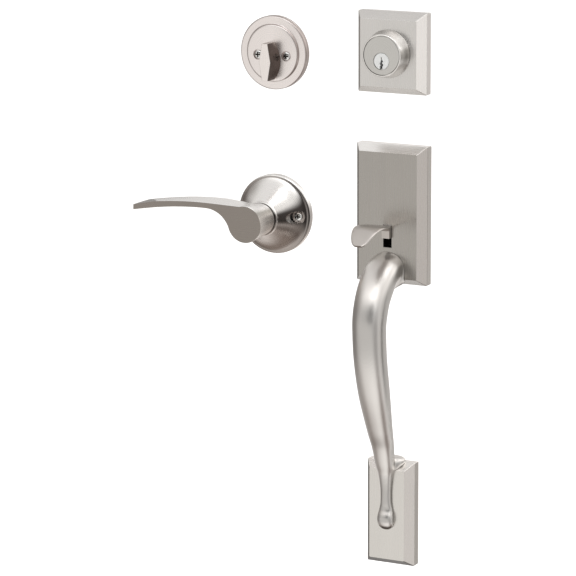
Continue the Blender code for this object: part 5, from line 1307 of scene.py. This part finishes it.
pad_rows = spline(PAD, 6)
pad_y, pad_z = face_y - CLEAR, TANG_TOP - PAD_THICKNESS / 2 - PAD_DISH / 2
pad_rings = []
for index, (along, lift, width) in enumerate(pad_rows):
    before, after = neighbours(pad_rows, index)
    tangent = Vector((0, -(after[0] - before[0]) * PAD_LENGTH,
                      (after[1] - before[1]) * PAD_LIFT)).normalized()
    up = Vector((0, tangent.z, -tangent.y))
    centre = Vector((0, pad_y - along * PAD_LENGTH, pad_z + lift * PAD_LIFT))
    half = width * PAD_WIDTH / 2
    thick = PAD_THICKNESS * (1.0 - TIP_THINNING * max(0.0, along - TIP_START))
    ring = []
    for n in range(48):
        across = squared(math.cos(math.tau * n / 48))
        over = thick / 2 * squared(math.sin(math.tau * n / 48))
        ring.append(centre + Vector((half * across, 0, 0))
                    + up * (over + PAD_DISH * width * across ** 2))
    pad_rings.append(ring)
print("pad rings", len(pad_rings))

# %% [markdown]
# The pad's neck, tang and tail are one casting with it. The tang passes through the plate's
# window and ends in an eye that turns about the pivot pin, and the tail reaches back to the
# latch. The eye is cut away on one side for the torsion spring.

# %% Tang, eye and tail
TANG_WIDTH = 7.4 * MM
TANG_HEIGHT = 11.0 * MM
TANG_SHY = 0.1 * MM
NECK_START, THROAT, NOSE = 0.22, 0.12, 0.07
THROAT_DROP = 1.2 * MM
PLATE_WALL = 2.5 * MM
EYE = 4.2 * MM
EYE_BACK, EYE_SHOULDER = 0.3, 0.9
PIN_HOLE = 1.8 * MM
SPRING_ROOM = 3.2 * MM
THUMB_TAIL = (2.5 * MM, 1.8 * MM)
pivot = middle("thumb_pivot_pin")
half = TANG_WIDTH / 2
tang_foot = TANG_TOP - TANG_HEIGHT
inner_face = face_y + PLATE_WALL
pad_under = TANG_TOP + 0.5 * PAD_LIFT - PAD_THICKNESS
rear = pivot.y - EYE * EYE_BACK
nose = face_y - NOSE * PAD_LENGTH
outline = [(face_y - NECK_START * PAD_LENGTH, pad_under),
           (face_y - THROAT * PAD_LENGTH, pad_under - THROAT_DROP),
           (nose, TANG_TOP - 0.4 * TANG_HEIGHT), (nose, tang_foot), (inner_face, tang_foot),
           (rear, pivot.z - EYE * EYE_SHOULDER), (rear, pivot.z + EYE * EYE_SHOULDER),
           (inner_face, TANG_TOP), (nose, TANG_TOP)]
web = lofted([[(x, y, z) for y, z in outline] for x in (TANG_SHY - half, half - TANG_SHY)])
tail_x, tail_z = THUMB_TAIL
around = EYE + PAST
thumb = joined(lofted(pad_rings), web,
               bar((-half, pivot.y, pivot.z), (half, pivot.y, pivot.z), EYE),
               block((-tail_x, tail_x), (pivot.y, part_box("thumb_piece")[1].y),
                     (pivot.z - tail_z, pivot.z + tail_z)))
thumb = combined(thumb, bar((-TANG_WIDTH, pivot.y, pivot.z), (TANG_WIDTH, pivot.y, pivot.z),
                            PIN_HOLE),
                 block((half - SPRING_ROOM, half + PAST), (pivot.y - around, pivot.y + around),
                       (pivot.z - around, pivot.z + around)))
THUMB_METAL = satin("thumb_nickel", (0.59, 0.555, 0.525), 0.30, strength=0.03)
piece("thumb_piece_fine", thumb, "thumb_piece", THUMB_METAL, smooth=38, weighted=True)

# %% [markdown]
# ## Pieces that keep their solids
# The works inside the plates are right as they are. They get plated, drawn or turned metal, so
# that the set also reads well from the back and when it is taken apart. The thumb bracket is
# painted black, as painted shade in the plate's window.

# %% Inner works
# Painted shade: the black that fills the thumb piece's window through the bracket.
WINDOW_SHADE_METAL = satin("window_shade_black", (0.012, 0.012, 0.012), 0.45, strength=0.05)
STEEL_METAL = satin("bright_steel", (0.56, 0.56, 0.55), 0.28, strength=0.08)
BRASS_METAL = satin("brass", (0.80, 0.62, 0.34), 0.27, strength=0.06)
WORKS = {
    ZINC_METAL: ("handle_post", "deadbolt_post", "foot_stud", "spring_cage", "lever_spindle",
                 "lever_mounting_plate", "cylinder_back_plate"),
    # The bracket behind the window is black as painted shade.
    WINDOW_SHADE_METAL: ("thumb_bracket",),
    STEEL_METAL: ("tailpiece", "stem_clip", "wave_washer", "lever_sleeve", "lever_catch",
                  "lever_return_spring", "thumb_pivot_pin", "thumb_spring", "pin_spring"),
    BRASS_METAL: ("plug_cap", "chamber_cover", "key_pin", "driver_pin"),
}
dressed = 0
for metal, starts in WORKS.items():
    for name, thing in nodes.items():
        if name.startswith(starts):
            thing.material_slots[0].material = metal
            dressed += 1
print("nodes that keep their solids", dressed, "metals", len(bpy.data.materials))
